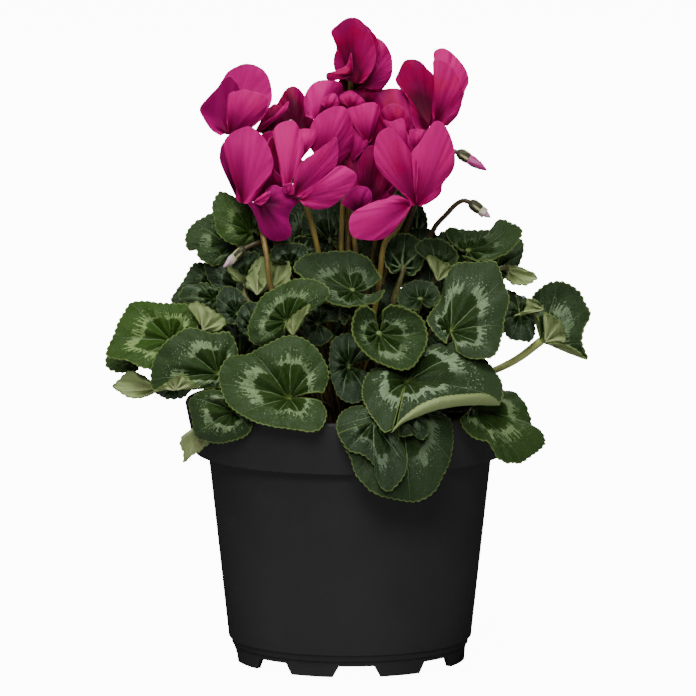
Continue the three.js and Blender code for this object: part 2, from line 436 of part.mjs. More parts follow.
// Flowers: where the mouth of the corolla is, where the stem runs, and the petals,
// listed as the leaves are.
const flowers = {
  flower_top_left: {
    mouth: [-45.5, 208, 0],
    petals: [{
      push: 2, bulge: 3,
      rim: [[-50.4, 216, 5], [-52.8, 226, 8], [-48, 234.8, 9], [-41.6, 237.4, 9], [-36, 236.8, 8],
        [-32, 231.6, 8],
        [-31.2, 222.4, 8], [-38, 214.4, 7]],
    }, {
      push: -7, bulge: 3,
      rim: [[-43.5, 216, 1], [-43.6, 226, 3], [-48.4, 231.4, 4], [-52.8, 229.6, 3], [-57.6, 224, 1],
        [-60, 218.6, -1],
        [-58.4, 214, -2], [-54, 209.6, -3], [-49.6, 207.4, -4]],
    }, {
      push: -4, bulge: 3,
      rim: [[-42, 209.2, -7], [-37, 212, -8], [-33.4, 217.2, -8], [-32, 222.6, -7], [-35.2, 225.6, -6],
        [-41.6, 226.6, -5], [-47.4, 225, -5], [-49.6, 219.2, -6], [-48.8, 212, -7]],
    }],
    behind: [155], hook: 20, from: [-4.5, 1.5],
    stem: [[-18, 140, 2], [-29.5, 166, 1.5], [-35, 188, 8], [-38, 199, 6]],
  },
  flower_left_behind: {
    mouth: [-23.5, 207, 24],
    petals: [],
    behind: [20, 75, 150, 210, 300], hook: 112, from: [-5.5, 7],
    stem: [[-8, 140, 12], [-14, 165, 19], [-19, 186, 25]],
  },
  flower_top: {
    mouth: [1.6, 229.6, 1],
    petals: [{
      push: -5, bulge: 3,
      rim: [[4, 236, -3], [6, 244, -3], [6.2, 250.6, -2], [2.8, 254.6, 0], [-2, 254.8, 1], [-6.6, 251.2, 1],
        [-7.4, 245, -1], [-6.8, 239, -3], [-6.4, 234, -5], [-4, 231, -6]],
    }, {
      push: -3, bulge: 2,
      rim: [[7, 230.6, -9], [10.2, 234.4, -8], [11, 240.8, -6], [8.6, 247, -5], [5.6, 249.6, -5],
        [3, 243, -7],
        [2.6, 236, -8]],
    }, {
      push: -1, bulge: 3,
      rim: [[9, 227.4, -5], [12.4, 226.8, -4], [15.4, 230, -2], [17, 235, 0], [16.2, 241, 2],
        [11.8, 247, 3],
        [7.8, 250.8, 3], [8, 240, 0]],
    }],
    length: 21, behind: [60, 145], hook: 102, from: [0, 2.5],
    stem: [[-1, 140, 6], [-0.5, 185, 13], [-1, 212, 15]],
  },
  flower_top_right: {
    mouth: [33.2, 212, 3],
    petals: [{
      push: -5, bulge: 2,
      rim: [[32.4, 220, 0], [33, 229, 1], [31.6, 234, 2], [27.6, 238.4, 3], [22, 238.8, 4],
        [19, 235, 3], [18.4, 229, 2],
        [22.4, 221, 1], [27.6, 212.8, 0]],
    }, {
      push: -5, bulge: 3,
      rim: [[38.8, 212.4, -3], [44, 219.6, -3], [45, 226, -2], [42.8, 232.4, -1], [38.6, 237.2, 0],
        [34.6, 238.4, 0],
        [34.2, 229.2, -2], [34.4, 219.2, -3]],
    }, {
      push: 4, bulge: -2,
      rim: [[41, 217, 4], [45.6, 224, 5], [47.4, 230.4, 6], [46, 236, 7], [42, 241, 8], [37.2, 243.6, 8],
        [34.2, 240, 7], [35.2, 228, 6]],
    }],
    behind: [85, 170], hook: 128, from: [4, 5.5], stem: [[10, 135, 8.5], [18, 168, 13.5], [26, 192, 12]],
  },
  flower_left: {
    mouth: [-39.5, 182, -10],
    petals: [{
      push: -1, bulge: 2.5,
      rim: [[-36.8, 185.2, -16], [-33.6, 190, -17], [-31, 196, -18], [-31.6, 201.6, -18], [-35.2, 208, -17],
        [-40.4, 211.8, -16], [-45.6, 210, -16], [-49.8, 206, -16], [-51.8, 200.4, -16], [-48.8, 193, -16],
        [-44.4, 184.8, -16]],
    }, {
      push: 3, bulge: -2,
      rim: [[-32.8, 187.2, -10], [-27, 194.4, -7], [-26, 203.2, -5], [-28.8, 209.6, -4], [-34, 210.4, -4],
        [-38, 204, -6], [-39, 192, -9]],
    }, {
      bulge: 2.5,
      rim: [[-37.8, 179.6, -14], [-36.4, 173.2, -14], [-33.2, 168, -13], [-28.8, 166.4, -12],
        [-24.8, 168.4, -11],
        [-23.4, 172.8, -11], [-23.4, 178, -12], [-25.4, 182.4, -13], [-28, 185.4, -13], [-32, 186, -14]],
    }],
    length: 17, behind: [110, 180], hook: 140, from: [-7.5, -6.5],
    stem: [[-31, 146, -18], [-33.5, 160, -19], [-35, 170, -15]],
  },
  flower_middle_left: {
    mouth: [-20, 183, -14],
    petals: [{
      push: -8, bulge: 2,
      rim: [[-21, 189.2, -17], [-19.6, 197.2, -15], [-18.8, 204, -13], [-20.4, 211.2, -12],
        [-23.6, 214, -11],
        [-28, 212.8, -11], [-29.6, 207.2, -12], [-28.8, 199.2, -14], [-27.2, 191.2, -17],
        [-25.6, 186, -18]],
    }, {
      push: 9, bulge: 1,
      rim: [[-16.6, 196, -13], [-14.4, 203.2, -11], [-13.2, 209.6, -10], [-15.6, 211.4, -9],
        [-18.2, 207.2, -10],
        [-18.6, 197, -12]],
    }, {
      push: -1, bulge: 2,
      rim: [[-15.2, 185.2, -20], [-11, 189, -20], [-6.6, 194.4, -19], [-4.6, 200.4, -18], [-6, 207, -17],
        [-10, 204.6, -17], [-14.8, 200.2, -18], [-19.4, 195.4, -19], [-21.4, 189.2, -20]],
    }, {
      bulge: 2,
      rim: [[-15.2, 179, -23], [-10.4, 178.6, -24], [-4.4, 181, -25], [-0.8, 186, -26], [2.8, 192, -25],
        [-1.2, 196, -24], [-5.2, 195.6, -24], [-11.2, 190, -24], [-16.8, 185.4, -23]],
    }],
    length: 22, behind: [160], hook: 118, from: [-2.2, -3],
    stem: [[-8, 130, -4], [-12.4, 161, -5], [-16, 174, -8]],
  },
  flower_middle: {
    mouth: [-6.8, 198, -3],
    petals: [{
      push: -4, bulge: 3,
      rim: [[-3.6, 198.6, -6], [0, 202.4, -7], [1.6, 208.8, -7], [0.4, 214.8, -6], [-3.2, 219.2, -5],
        [-8.8, 219.8, -4], [-13.2, 217.2, -5], [-15.2, 212, -6], [-12, 205.2, -6]],
    }, {
      push: 4, bulge: -2,
      rim: [[-4, 214, 1], [-4, 223.2, 4], [-6, 229.6, 6], [-11.2, 231, 7], [-16, 228, 6],
        [-18.6, 222, 4], [-17, 214, 2]],
    }],
    length: 20, behind: [80], hook: 40, from: [-1.5, 0], stem: [[-2, 130, 0], [-3.5, 160, 2], [-3, 180, 2]],
  },
  flower_middle_right: {
    mouth: [15, 200, 8],
    petals: [{
      push: 9, bulge: -2,
      rim: [[25, 210.4, 6], [26.6, 217, 7], [25.6, 224, 9], [20.8, 227.4, 10], [14, 227, 10], [10, 224, 9],
        [11.6, 213, 6]],
    }, {
      push: 6, bulge: 2,
      rim: [[9, 207, 1], [10, 215, 2], [7.4, 221.6, 3], [2.6, 221.6, 3], [-0.6, 216, 3],
        [0.4, 207.6, 2], [7, 202.6, 1]],
    }, {
      push: 2, bulge: 2,
      rim: [[11, 206, -3], [9.4, 213.6, -3], [4.4, 215, -2], [2.6, 207.6, -2], [3.2, 200, -3],
        [7, 197, -3]],
    }, {
      push: 3, bulge: 2,
      rim: [[21.6, 204, -2], [24.4, 211, -2], [22, 218.6, -1], [16.4, 220.4, 0], [13, 215.6, -1],
        [14, 207.2, -2]],
    }],
    behind: [150], hook: 0, from: [3.2, 1], stem: [[6, 140, 3], [12, 175, 6]],
  },
  flower_low_middle: {
    mouth: [7, 178, -7],
    petals: [{
      push: -2, bulge: 2,
      rim: [[10, 180, -11], [12.4, 186, -12], [12.2, 194, -12], [8, 203, -10], [2, 202.6, -9],
        [-2.6, 194, -10],
        [-1.8, 184, -11], [2, 178.4, -11]],
    }],
    length: 17, behind: [350, 35, 85], hook: 150, from: [1.4, -2.6], stem: [[2, 126, -2.6], [3.4, 150, -3.4]],
  },
  flower_right: {
    mouth: [26, 182, -13],
    petals: [{
      push: -1, bulge: 2.5,
      rim: [[25.6, 189.2, -20], [24.8, 196.8, -20], [23, 202.6, -20], [17.6, 210.6, -19],
        [13.6, 210.6, -18],
        [10.2, 207.2, -18], [9.4, 202.4, -19], [12, 194, -20], [17.2, 189.6, -20], [21.4, 184, -19]],
    }, {
      push: -1, bulge: 2.5,
      rim: [[31.2, 181.8, -21], [36, 186.2, -22], [39.8, 192, -22], [41.4, 197.4, -21], [41, 203.2, -20],
        [38.6, 208.6, -19], [34.8, 213.8, -18], [30, 210.4, -19], [27.2, 204.4, -20], [26.6, 195, -21]],
    }, {
      push: -1, bulge: 2.5,
      rim: [[19, 184.6, -21], [10.8, 182.6, -22], [4.4, 179.8, -23], [0.4, 175.2, -23], [0, 170.6, -23],
        [2.4, 167, -23], [8, 166.4, -23], [15.2, 167.8, -22], [18.8, 171.4, -21], [21.4, 176, -20],
        [23.6, 179, -20]],
    }],
    behind: [35, 85], hook: 125, from: [4.8, -3],
    stem: [[8, 128, -6], [11.6, 150, -9], [14, 166, -12], [19, 172, -13]],
  },
};

// Buds: the stem's way, and the point of the closed petals.
const buds = {
  bud_right_upper: {
    from: [7, 5], stem: [[19, 130, 10], [29, 162, 13], [35, 188, 6], [40.8, 202.6, -3]], neck: [43,
    202.4, -4],
    point: [54.4, 194.8, -6],
  },
  bud_right_lower: {
    from: [11, 3.5], stem: [[24, 130, 10], [32.6, 160, 10], [34.8, 173.6, 6], [40.8, 180.8, 3]],
    neck: [46, 183, 1],
    point: [56, 176.4, 0],
  },
  bud_left: {
    from: [-5.5, -2.5], stem: [[-13, 130, -4], [-26, 155, -1], [-34, 165, -6], [-37, 165.6, -10]],
    neck: [-41.6, 164, -11],
    point: [-50.4, 156, -11],
  },
};

// One petal by rule: from the mouth it stands up and leans out, broad above its middle.
const petalLength = 27;
const petalHalfWidth = 7.5;
const petalOutline = [[0.2, 0.22], [0.5, 0.8], [0.82, 0.95], [1, 0.4], [1, -0.3], [0.84, -0.95],
  [0.5, -0.85],
  [0.2, -0.22]];

function rulePetal(mouth, degrees, length = petalLength) {
  const turn = THREE.MathUtils.degToRad(degrees);
  const out = new THREE.Vector3(Math.cos(turn), Math.sin(turn), 0);
  const side = new THREE.Vector3(-out.y, out.x, 0);
  const place = (height, width) => mouth.clone()
    .addScaledVector(out, 2 + 9 * (1 - (1 - height) ** 2))
    .addScaledVector(side, width * petalHalfWidth)
    .addScaledVector(up, 2 + length * height);
  return { at: place(0, 0), rim: petalOutline.map(([height, width]) => place(height, width)), bulge: 3 };
}

// The corolla's tube with its mouth, and the calyx that holds it from above.
const tubeRadius = 4;
const tubeHeight = 6.5;
const petalRoot = 2.6;
const tubeProfile = [[0, 2.5], [3, 0], [tubeRadius, 1.2], [3, tubeHeight], [0, tubeHeight]];
const calyxProfile = [[0, tubeHeight + gap], [3.2, tubeHeight + gap], [2.9, 8.6], [0, 10.4]];

function flowerPetals({ mouth, petals, behind, length }) {
  const place = seen(mouth);
  const tube = solidOf(lathe(tubeProfile, 7).translate(...place.toArray()));
  const shown = petals.map((petal) => {
    const { points } = bladeShape({ at: mouth, ...petal });
    const out = middleOf(points).sub(place).setZ(0).setLength(petalRoot);
    const at = place.clone().add(out).addScaledVector(up, petalRoot);
    return bladeSolid({ ...petal, at }, petalThickness);
  });
  const hidden = behind.map((degrees) => bladeSolid(rulePetal(place, degrees, length), petalThickness));
  return joined([tube, ...shown, ...hidden]);
}

// Where the stem's crook runs, out from the corolla's axis and up from its mouth.
const stemCrook = [[6.6, -4], [5.6, 6], [4.4, 12], [2.2, 14.4], [0.4, 12.4], [0, 9]];

function flowerStem({ mouth, from, stem, hook }) {
  const place = seen(mouth);
  const turn = THREE.MathUtils.degToRad(hook);
  const offset = (out, rise) => place.clone()
    .add(new THREE.Vector3(out * Math.cos(turn), out * Math.sin(turn), rise));
  const base = new THREE.Vector3(...from, crownHeight + gap);
  const crook = stemCrook.map(([out, rise]) => offset(out, rise));
  const path = [base, base.clone().addScaledVector(up, 7), ...stem.map(seen), ...crook];
  const calyx = solidOf(lathe(calyxProfile, 7).translate(...place.toArray()));
  return calyx.add(stalk(new THREE.CatmullRomCurve3(path, false, "centripetal"), flowerStemRadius, 11, 4));
}

// A bud: a pointed roll of petals held in its calyx.
const budRadius = 2.3;
const budStemRadius = 0.95;

function budPieces({ from, stem, neck, point }) {
  const start = seen(neck);
  const tip = seen(point);
  const reach = start.distanceTo(tip);
  const turn = new THREE.Quaternion().setFromUnitVectors(up, tip.clone().sub(start).normalize());
  const put = (profile) => solidOf(lathe(profile, 8).applyQuaternion(turn).translate(...start.toArray()));
  const rollTip = [[1.7, reach * 0.75], [0.5, reach], [0, reach + 0.1]];
  const roll = put([[0, 4.6], [1.9, 4.6], [budRadius, 6.5], ...rollTip]);
  const calyx = put([[0, 0], [1.2, 0.1], [2.4, 1.8], [2.6, 4.3], [0, 4.3]]);
  const base = new THREE.Vector3(...from, crownHeight + gap);
  const places = [base, ...stem.map(seen), start.clone().lerp(tip, 0.08)];
  const path = new THREE.CatmullRomCurve3(places, false, "centripetal");
  return { roll, stem: calyx.add(stalk(path, budStemRadius, 9, 4)) };
}

// The pot: a thin wall with a flared lip, a floor with drain holes, and a foot ring with notches.
const floorUnderside = 5;
const floorTop = 6.5;
const footRing = 2.5;
const notchCount = 8;
const notchTurn = 3.2;
const notchWidth = 14;
const notchHeight = 4.4;
const drainRadius = 4;
const drainRing = 36;

function potSolid() {
  const lipBottom = potHeight - lipDepth;
  const profile = [[0, floorUnderside], [footRadius - footRing, floorUnderside], [footRadius - footRing, 0],
    [footRadius, 0], [footRadius + 0.3, footHeight], [bodyFootRadius, footHeight + 1.2],
    [bodyTopRadius, lipBottom - 0.4], [lipRadius - lipFlare, lipBottom], [lipRadius, potHeight - 1],
    [lipRadius - 0.4, potHeight],
    [lipRadius - potWall, potHeight], [lipRadius - lipFlare - potWall, lipBottom + potWall],
    [bodyTopRadius - potWall, lipBottom - 0.4], [bodyFootRadius - potWall, floorTop], [0, floorTop]];
  let pot = solidOf(lathe(profile, potSides));
  for (let i = 0; i < notchCount; i += 1) {
    const turn = THREE.MathUtils.degToRad(notchTurn - 90 + (360 * i) / notchCount);
    const outline = new THREE.Shape();
    outline.moveTo(-notchWidth / 2 - 3, -1);
    outline.lineTo(notchWidth / 2 + 3, -1);
    outline.lineTo(notchWidth / 2, notchHeight);
    outline.lineTo(-notchWidth / 2, notchHeight);
    outline.closePath();
    const notch = new THREE.ExtrudeGeometry(outline, { depth: 12, bevelEnabled: false });
    notch.rotateX(Math.PI / 2).translate(0, footRadius + 6, 0).rotateZ(turn - Math.PI / 2);
    pot = pot.subtract(solidOf(notch));
    const drain = new THREE.CylinderGeometry(drainRadius, drainRadius, 6, 8).rotateX(Math.PI / 2);
    const ring = turn + Math.PI / notchCount;
    drain.translate(drainRing * Math.cos(ring), drainRing * Math.sin(ring), floorUnderside + 1);
    pot = pot.subtract(solidOf(drain));
  }
  return pot;
}

// The tuber: a flattened round corm whose flat crown stands just above the soil.
const tuberDepth = 32;

function tuberProfile(grow) {
  const shape = [[0.55, -1], [0.9, -0.72], [1, -0.42], [0.98, -0.12], [0.9, 0]];
  const wall = shape.map(([out, down]) => [tuberRadius * out + grow, crownHeight + tuberDepth * down]);
  const foot = crownHeight - tuberDepth - grow;
  return [[0, foot], [wall[0][0], foot], ...wall.slice(1)];
}

function tuberSolid() {
  return solidOf(lathe([...tuberProfile(0), [0, crownHeight]], 20));
}

// The soil fills the pot up to a little below the rim, with a crumbly top and a pit for the tuber.
function soilSolid() {
  const top = potHeight - soilBelowRim;
  const lipBottom = potHeight - lipDepth;
  const slope = (bodyTopRadius - bodyFootRadius) / (lipBottom - floorTop);
  const wall = (height) => bodyFootRadius - potWall - gap * 1.4 + slope * (height - floorTop);
  const profile = [[0, floorTop + gap], [wall(floorTop) - 0.2, floorTop + gap],
    [wall(lipBottom - 2), lipBottom - 2], [wall(top) - 0.4, top - 0.6], [46, top], [36, top + 0.5],
    [27, top + 0.4], [0, top + 0.4]];
  const body = lathe(profile, 28);
  const place = body.getAttribute("position");
  for (let i = 0; i < place.count; i += 1) {
    const [x, y, z] = [place.getX(i), place.getY(i), place.getZ(i)];
    const inner = Math.hypot(x, y) < 50 && Math.hypot(x, y) > 30;
    if (z > top - 0.3 && inner) place.setZ(i, z + 0.7 * Math.sin(x * 1.3 + 2) * Math.cos(y * 1.7));
  }
  const pit = [...tuberProfile(gap), [tuberRadius * 0.9 + gap, crownHeight + 5], [0, crownHeight + 5]];
  return solidOf(body).subtract(solidOf(lathe(pit, 20)));
}

// Materials: colour, roughness and metalness of each kind of surface
const surface = (color, roughness) => new THREE.MeshStandardMaterial({ color, roughness, metalness: 0 });
const black = surface(0x1c1c1d, 0.5);
const earth = surface(0x33261b, 0.95);
const cork = surface(0x5a4330, 0.85);
const green = surface(0x3f5f3a, 0.55);
const magenta = surface(0xc2166c, 0.6);
const stemBrown = surface(0x6e5a38, 0.6);
const budPink = surface(0xe4b6cf, 0.6);

const cyclamen = new THREE.Group();

function add(name, solid, material) {
  const mesh = new THREE.Mesh(geometryOf(solid), material);
  mesh.name = name;
  cyclamen.add(mesh);
}

add("pot", potSolid(), black);
add("soil", soilSolid(), earth);
add("tuber", tuberSolid(), cork);
for (const [name, specs] of Object.entries(leaves)) add(name, joined(specs.map(leaf)), green);
for (const [name, specs] of Object.entries(backLeaves)) {
  add(name, joined(specs.map(heartLeaf).map(leaf)), green);
}
for (const [name, spec] of Object.entries(flowers)) {
  add(`${name}_petals`, flowerPetals(spec), magenta);
  add(`${name}_stem`, flowerStem(spec), stemBrown);
}
for (const [name, spec] of Object.entries(buds)) {
  const { roll, stem } = budPieces(spec);
  add(`${name}_petals`, roll, budPink);
  add(`${name}_stem`, stem, stemBrown);
}

export default cyclamen;
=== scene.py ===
"""Potted cyclamen: a grower's pot, its soil, the tuber, marbled leaves, reflexed flowers and buds.

Metres, +Z up, the viewer stands at -Y. Every piece stands for the CAD solid of its name.
"""
import math
import random

import bpy
from mathutils import Matrix, Vector, noise


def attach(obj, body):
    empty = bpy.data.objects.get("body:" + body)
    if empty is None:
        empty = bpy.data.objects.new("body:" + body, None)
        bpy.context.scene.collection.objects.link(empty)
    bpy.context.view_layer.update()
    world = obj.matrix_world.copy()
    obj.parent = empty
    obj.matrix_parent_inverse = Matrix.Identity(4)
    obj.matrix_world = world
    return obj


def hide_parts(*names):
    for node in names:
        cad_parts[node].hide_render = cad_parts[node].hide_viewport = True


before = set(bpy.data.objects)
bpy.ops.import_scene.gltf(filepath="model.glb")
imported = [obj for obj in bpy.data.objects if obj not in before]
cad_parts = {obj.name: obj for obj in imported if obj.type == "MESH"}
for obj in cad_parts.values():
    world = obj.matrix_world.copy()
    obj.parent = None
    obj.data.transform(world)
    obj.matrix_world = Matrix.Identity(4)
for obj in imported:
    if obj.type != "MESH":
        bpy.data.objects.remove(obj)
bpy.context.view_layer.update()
bpy.ops.object.select_all(action="DESELECT")

MM = 0.001
CM = 0.01
UP = Vector((0, 0, 1))
VIEW_TILT = math.radians(8)

# The pot, as the CAD has it, in millimetres
POT_HEIGHT = 104.4
POT_SIDES = 144
LIP_RADIUS = 66
LIP_BOTTOM = POT_HEIGHT - 20.6
LIP_FLARE = 4
BODY_TOP_RADIUS = 56.8
BODY_FOOT_RADIUS = 48.8
FOOT_RADIUS = 46.4
FOOT_HEIGHT = 8
POT_WALL = 1.3
FLOOR_UNDERSIDE = 5
FLOOR_TOP = 6.5
FOOT_RING = 2.5
NOTCH_COUNT = 8
NOTCH_TURN = 3.2
NOTCH_WIDTH = 14
NOTCH_HEIGHT = 4.4
NOTCH_SPLAY = 3
DRAIN_RADIUS = 4
DRAIN_RING = 36

# What stands in the pot, in millimetres
SOIL_TOP = POT_HEIGHT - 13
TUBER_RADIUS = 24
TUBER_DEPTH = 32
CROWN_HEIGHT = SOIL_TOP + 3
GAP = 0.3


def seen(place):
    """The point, in metres, of a place (across, up, back) as the front view shows it."""
    across, rise, back = place
    return Vector((across, back, (rise - back * math.sin(VIEW_TILT)) / math.cos(VIEW_TILT))) * MM


def outline(at, bulge, rim, far=None, **more):
    """A blade: where its stalk or root is, how far it bulges, its rim, and what else is known.

    A rim without depths leans evenly, from the root's depth to the depth far at its furthest
    point. Flaps are turned-over edges without a stalk, and a swapped leaf shows its underside.
    """
    if far is not None:
        reaches = [math.dist(point, at[:2]) for point in rim]
        depths = [at[2] + (far - at[2]) * reach / max(reaches) for reach in reaches]
        rim = [(*point, float(f"{depth:.3g}")) for point, depth in zip(rim, depths)]
    return dict(at=seen(at), bulge=bulge, rim=[seen(point) for point in rim], **more)


# The leaves as the front view shows them, in millimetres
LEAVES = {}
LEAVES["leaf_left_pale"] = [
    outline((-71, 126.8, -10), 2, [
        (-61, 131, -13), (-60.5, 138, -9), (-64.4, 141, -8), (-76, 142, -4), (-87.6, 142.4, -2),
        (-91, 137, -4), (-94, 129, -8), (-97, 121, -12), (-87.6, 118.4, -16), (-82, 115.6, -18),
        (-77, 115.8, -18), (-73, 121, -15)]),
    outline((-58.5, 131, -15), 1, [
        (-64.4, 140.4, -13), (-61.6, 142.4, -12.5), (-56.4, 140.2, -14), (-49.2, 134.2, -18),
        (-52.6, 130.6, -19)], flap=True, tone=-0.3),
]
LEAVES["leaf_left"] = [
    outline((-52, 113.6, -27), 2, [
        (-45, 117, -27), (-44.4, 122.4, -24), (-48, 130, -22), (-54, 129.6, -22), (-64, 132, -21),
        (-72, 127, -22), (-77, 121, -22), (-79, 113.2, -23), (-78, 107.5, -24), (-67.6, 107, -29),
        (-59, 107.8, -31), (-50, 108.8, -31), (-46, 111.5, -29)]),
    outline((-69, 107.2, -31.5), 1, [
        (-78, 106.8, -27), (-72, 110.5, -31), (-67, 113.7, -31.5), (-62.5, 111, -33),
        (-59, 108.2, -33)], flap=True),
    outline((-70, 108.4, -29), 1, [
        (-77.6, 107, -26), (-75, 104.8, -27), (-67.6, 104, -29), (-65, 105.2, -30),
        (-62.5, 107.8, -31)], flap=True, tone=0, silver=0),
]
LEAVES["leaf_left_turned"] = [
    outline((-77, 108.2, -13), 2, [
        (-77.6, 106.6, -14), (-82, 104.4, -15), (-87.6, 104.2, -15), (-91.6, 106.4, -14.5),
        (-94.4, 108.6, -14), (-91.5, 112, -13), (-88.2, 114.6, -12), (-85.6, 114.4, -12),
        (-82, 112, -12), (-78.6, 109.6, -12)], edge_on=True),
    outline((-78, 108, -11.5), 0.5, [
        (-79.2, 107.6, -12), (-80, 111.2, -11.5), (-86, 114.6, -11),
        (-83, 112, -11.5)], flap=True, tone=0, silver=0),
]
LEAVES["leaf_left_low"] = [
    outline((-45, 99.2, -49), 2.5, [
        (-43, 103.5, -48), (-50, 106.8, -43), (-58, 107, -36), (-63, 103.2, -32), (-62.4, 96, -36),
        (-60.8, 89.2, -39), (-56, 87.2, -44), (-50, 86.8, -49), (-42, 89.2, -55), (-38, 93.2, -58),
        (-41, 97, -53)]),
]
LEAVES["leaf_left_tip"] = [
    outline((-57.5, 94, -33.5), -1.2, [
        (-55, 91, -36), (-54.5, 87.7, -37), (-58, 84.6, -36), (-61.6, 82, -33), (-66.4, 78.8, -29),
        (-65.8, 82.2, -28.5), (-67.2, 86.2, -27.5), (-66.8, 89, -27.5), (-64, 90.8, -28.5),
        (-60, 92.6, -31)], edge_on=True),
]
LEAVES["leaf_front"] = [
    outline((-23.6, 104, -52), 3, [
        (-10.5, 106, -55), (-8.4, 114, -51), (-14.8, 125.2, -46), (-24, 128.8, -44),
        (-34.4, 124.4, -46), (-40, 121.6, -45), (-47.6, 120.5, -46), (-51.4, 114.4, -48),
        (-50.4, 107.2, -51), (-47, 100.8, -56), (-36.8, 94.8, -65), (-24, 92.2, -70),
        (-13, 91.4, -73), (-9.2, 98, -67), (-11.5, 103, -60)]),
]
LEAVES["leaf_front_drooping"] = [
    outline((20, 99, -63.5), 3, [
        (0.8, 101, -61), (-3.8, 98, -67), (-5.2, 93.2, -71), (-2.8, 87.2, -74), (0.4, 81.2, -76),
        (2, 75.2, -77), (6, 70, -78), (11.2, 66.4, -78), (20, 64.6, -77), (27.2, 64.8, -75),
        (32.8, 68, -73), (36.4, 74.4, -71), (39.2, 81.2, -68), (40.2, 89.2, -64), (38.5, 97, -58),
        (29, 101, -57)]),
    outline((9, 95, -71), 1.5, [
        (-5, 90.8, -73.5), (-0.4, 84, -76.5), (4.8, 82.4, -78), (9.2, 78.8, -79.5),
        (10.4, 73.2, -80.5), (12.8, 68.8, -81), (15.2, 68.2, -80.5), (18.8, 71.2, -80),
        (21.6, 75.6, -79), (22, 80.4, -77.5), (20, 86.8, -75), (17, 92, -72.5)], flap=True),
    outline((21, 98, -68.5), 1, [
        (18.5, 91.8, -73), (20, 89.4, -74), (25.2, 90, -74), (28, 88, -74), (30.6, 91.6, -72.5),
        (30, 96.4, -70)], flap=True),
]
LEAVES["leaf_front_right"] = [
    outline((22, 110, -52), 4, [
        (18, 93.6, -76), (25, 97.6, -75), (37.4, 101.2, -70), (48, 102.2, -61.5),
        (58.4, 101.8, -51), (60, 107, -44), (56, 116, -37), (48, 122.4, -34), (38, 125.2, -34),
        (28, 123.6, -36), (20, 121.2, -40), (14, 117.6, -44), (7.6, 114.4, -49), (5, 109.2, -56),
        (5.6, 103.2, -67), (8.8, 97, -73), (13.4, 90.4, -80), (16.4, 91.4, -78)]),
    dict(bulge=1.8, fold=[
        (15.9, 91, -78.5), (20.2, 94.8, -76.5), (25.1, 97, -75.5), (31.2, 99.4, -73.5),
        (37.4, 100.8, -70.5), (43.5, 101.6, -66), (49.6, 101.8, -60.5), (58.4, 101.6, -51.5)],
        edge=[
        (17.6, 93.6, -78), (21.4, 97.4, -77), (26.9, 101.6, -76), (33.7, 104.4, -74),
        (37.4, 105.2, -72), (47.2, 106, -65), (52.7, 106, -59.5), (56.4, 104.4, -55),
        (59, 102.2, -51.5)]),
]
LEAVES["leaf_heart"] = [
    outline((11.2, 130, -40), -3, [
        (10, 138, -40), (6, 140.4, -40), (2.4, 138.4, -41), (0.8, 131.2, -44), (2.8, 125.6, -48),
        (10.4, 118.8, -54), (20.8, 115, -57), (24.8, 116.8, -56), (27.6, 121.2, -54),
        (30, 126.4, -51), (30, 131.2, -47), (28, 136, -44), (20, 140.4, -41), (16, 140.8, -40),
        (12.8, 138.6, -40)]),
]
LEAVES["leaf_right_low"] = [
    outline((47.5, 100, -47), 2.5, [
        (43, 96, -56), (44.8, 91.4, -59), (48.8, 88.4, -59), (53.6, 87, -57), (57.6, 80.4, -58),
        (65.2, 78.8, -52), (70, 80.4, -46), (76.4, 86, -36), (75, 91.6, -32), (72, 93, -30),
        (71, 97.2, -26), (68, 103.2, -22), (64.8, 106, -20), (60, 107, -24), (52, 105, -36)]),
]
LEAVES["leaf_right_upright"] = [
    outline((39.6, 130.4, -30), 2, [
        (42, 123, -41), (46, 120.8, -43), (56.4, 120.4, -41), (60, 129.2, -33), (61, 136, -28),
        (63, 143.2, -23), (61, 150, -19), (57.2, 158.4, -14), (51, 158, -13), (42, 156.8, -14),
        (38, 151.2, -17), (36, 143.2, -21), (32, 138.4, -27), (30.4, 134.4, -31), (34, 129, -36),
        (38, 125.5, -40)]),
]
LEAVES["leaf_left_upper"] = [
    outline((-24.8, 134.4, -36), 2.5, [
        (-14.5, 139, -41), (-9.6, 143, -41), (-8, 146.4, -40), (-13.6, 150.8, -36),
        (-22.4, 150.8, -32), (-29.2, 147.6, -31), (-35.2, 143.6, -32), (-37.6, 138.4, -34),
        (-40, 132, -36), (-39, 126.6, -37), (-33, 124.6, -39), (-28.8, 126, -39),
        (-25.5, 130, -38)]),
    outline((-22.4, 128.6, -41), 0.8, [
        (-25, 131.6, -40.5), (-24.4, 134.6, -40.5), (-20, 138.6, -42.5), (-15.5, 141.2, -43.5),
        (-15.6, 139, -44), (-18, 136.4, -43.5)], flap=True),
]
LEAVES["leaf_middle"] = [
    outline((1, 147, -22), -2, [
        (12.6, 151.6, -22), (10.8, 155, -17), (7.2, 160, -12), (0, 162.4, -9), (-8, 162.4, -9),
        (-18.8, 160, -12), (-22.4, 156.4, -16), (-16.8, 150, -25), (-8.8, 143.6, -31),
        (-4.8, 141.2, -34), (0, 140.2, -36), (6, 140.8, -35), (11.2, 143.2, -32), (14, 147, -27)]),
]
LEAVES["leaf_right_cup"] = [
    outline((28, 143.6, -14), -1.5, [
        (33, 140.4, -21), (36, 145, -12), (34, 149, -9), (28, 151.6, -6), (22, 149.2, -8),
        (18.8, 144.4, -14), (20.4, 140.8, -20), (26.8, 139.4, -24)]),
]
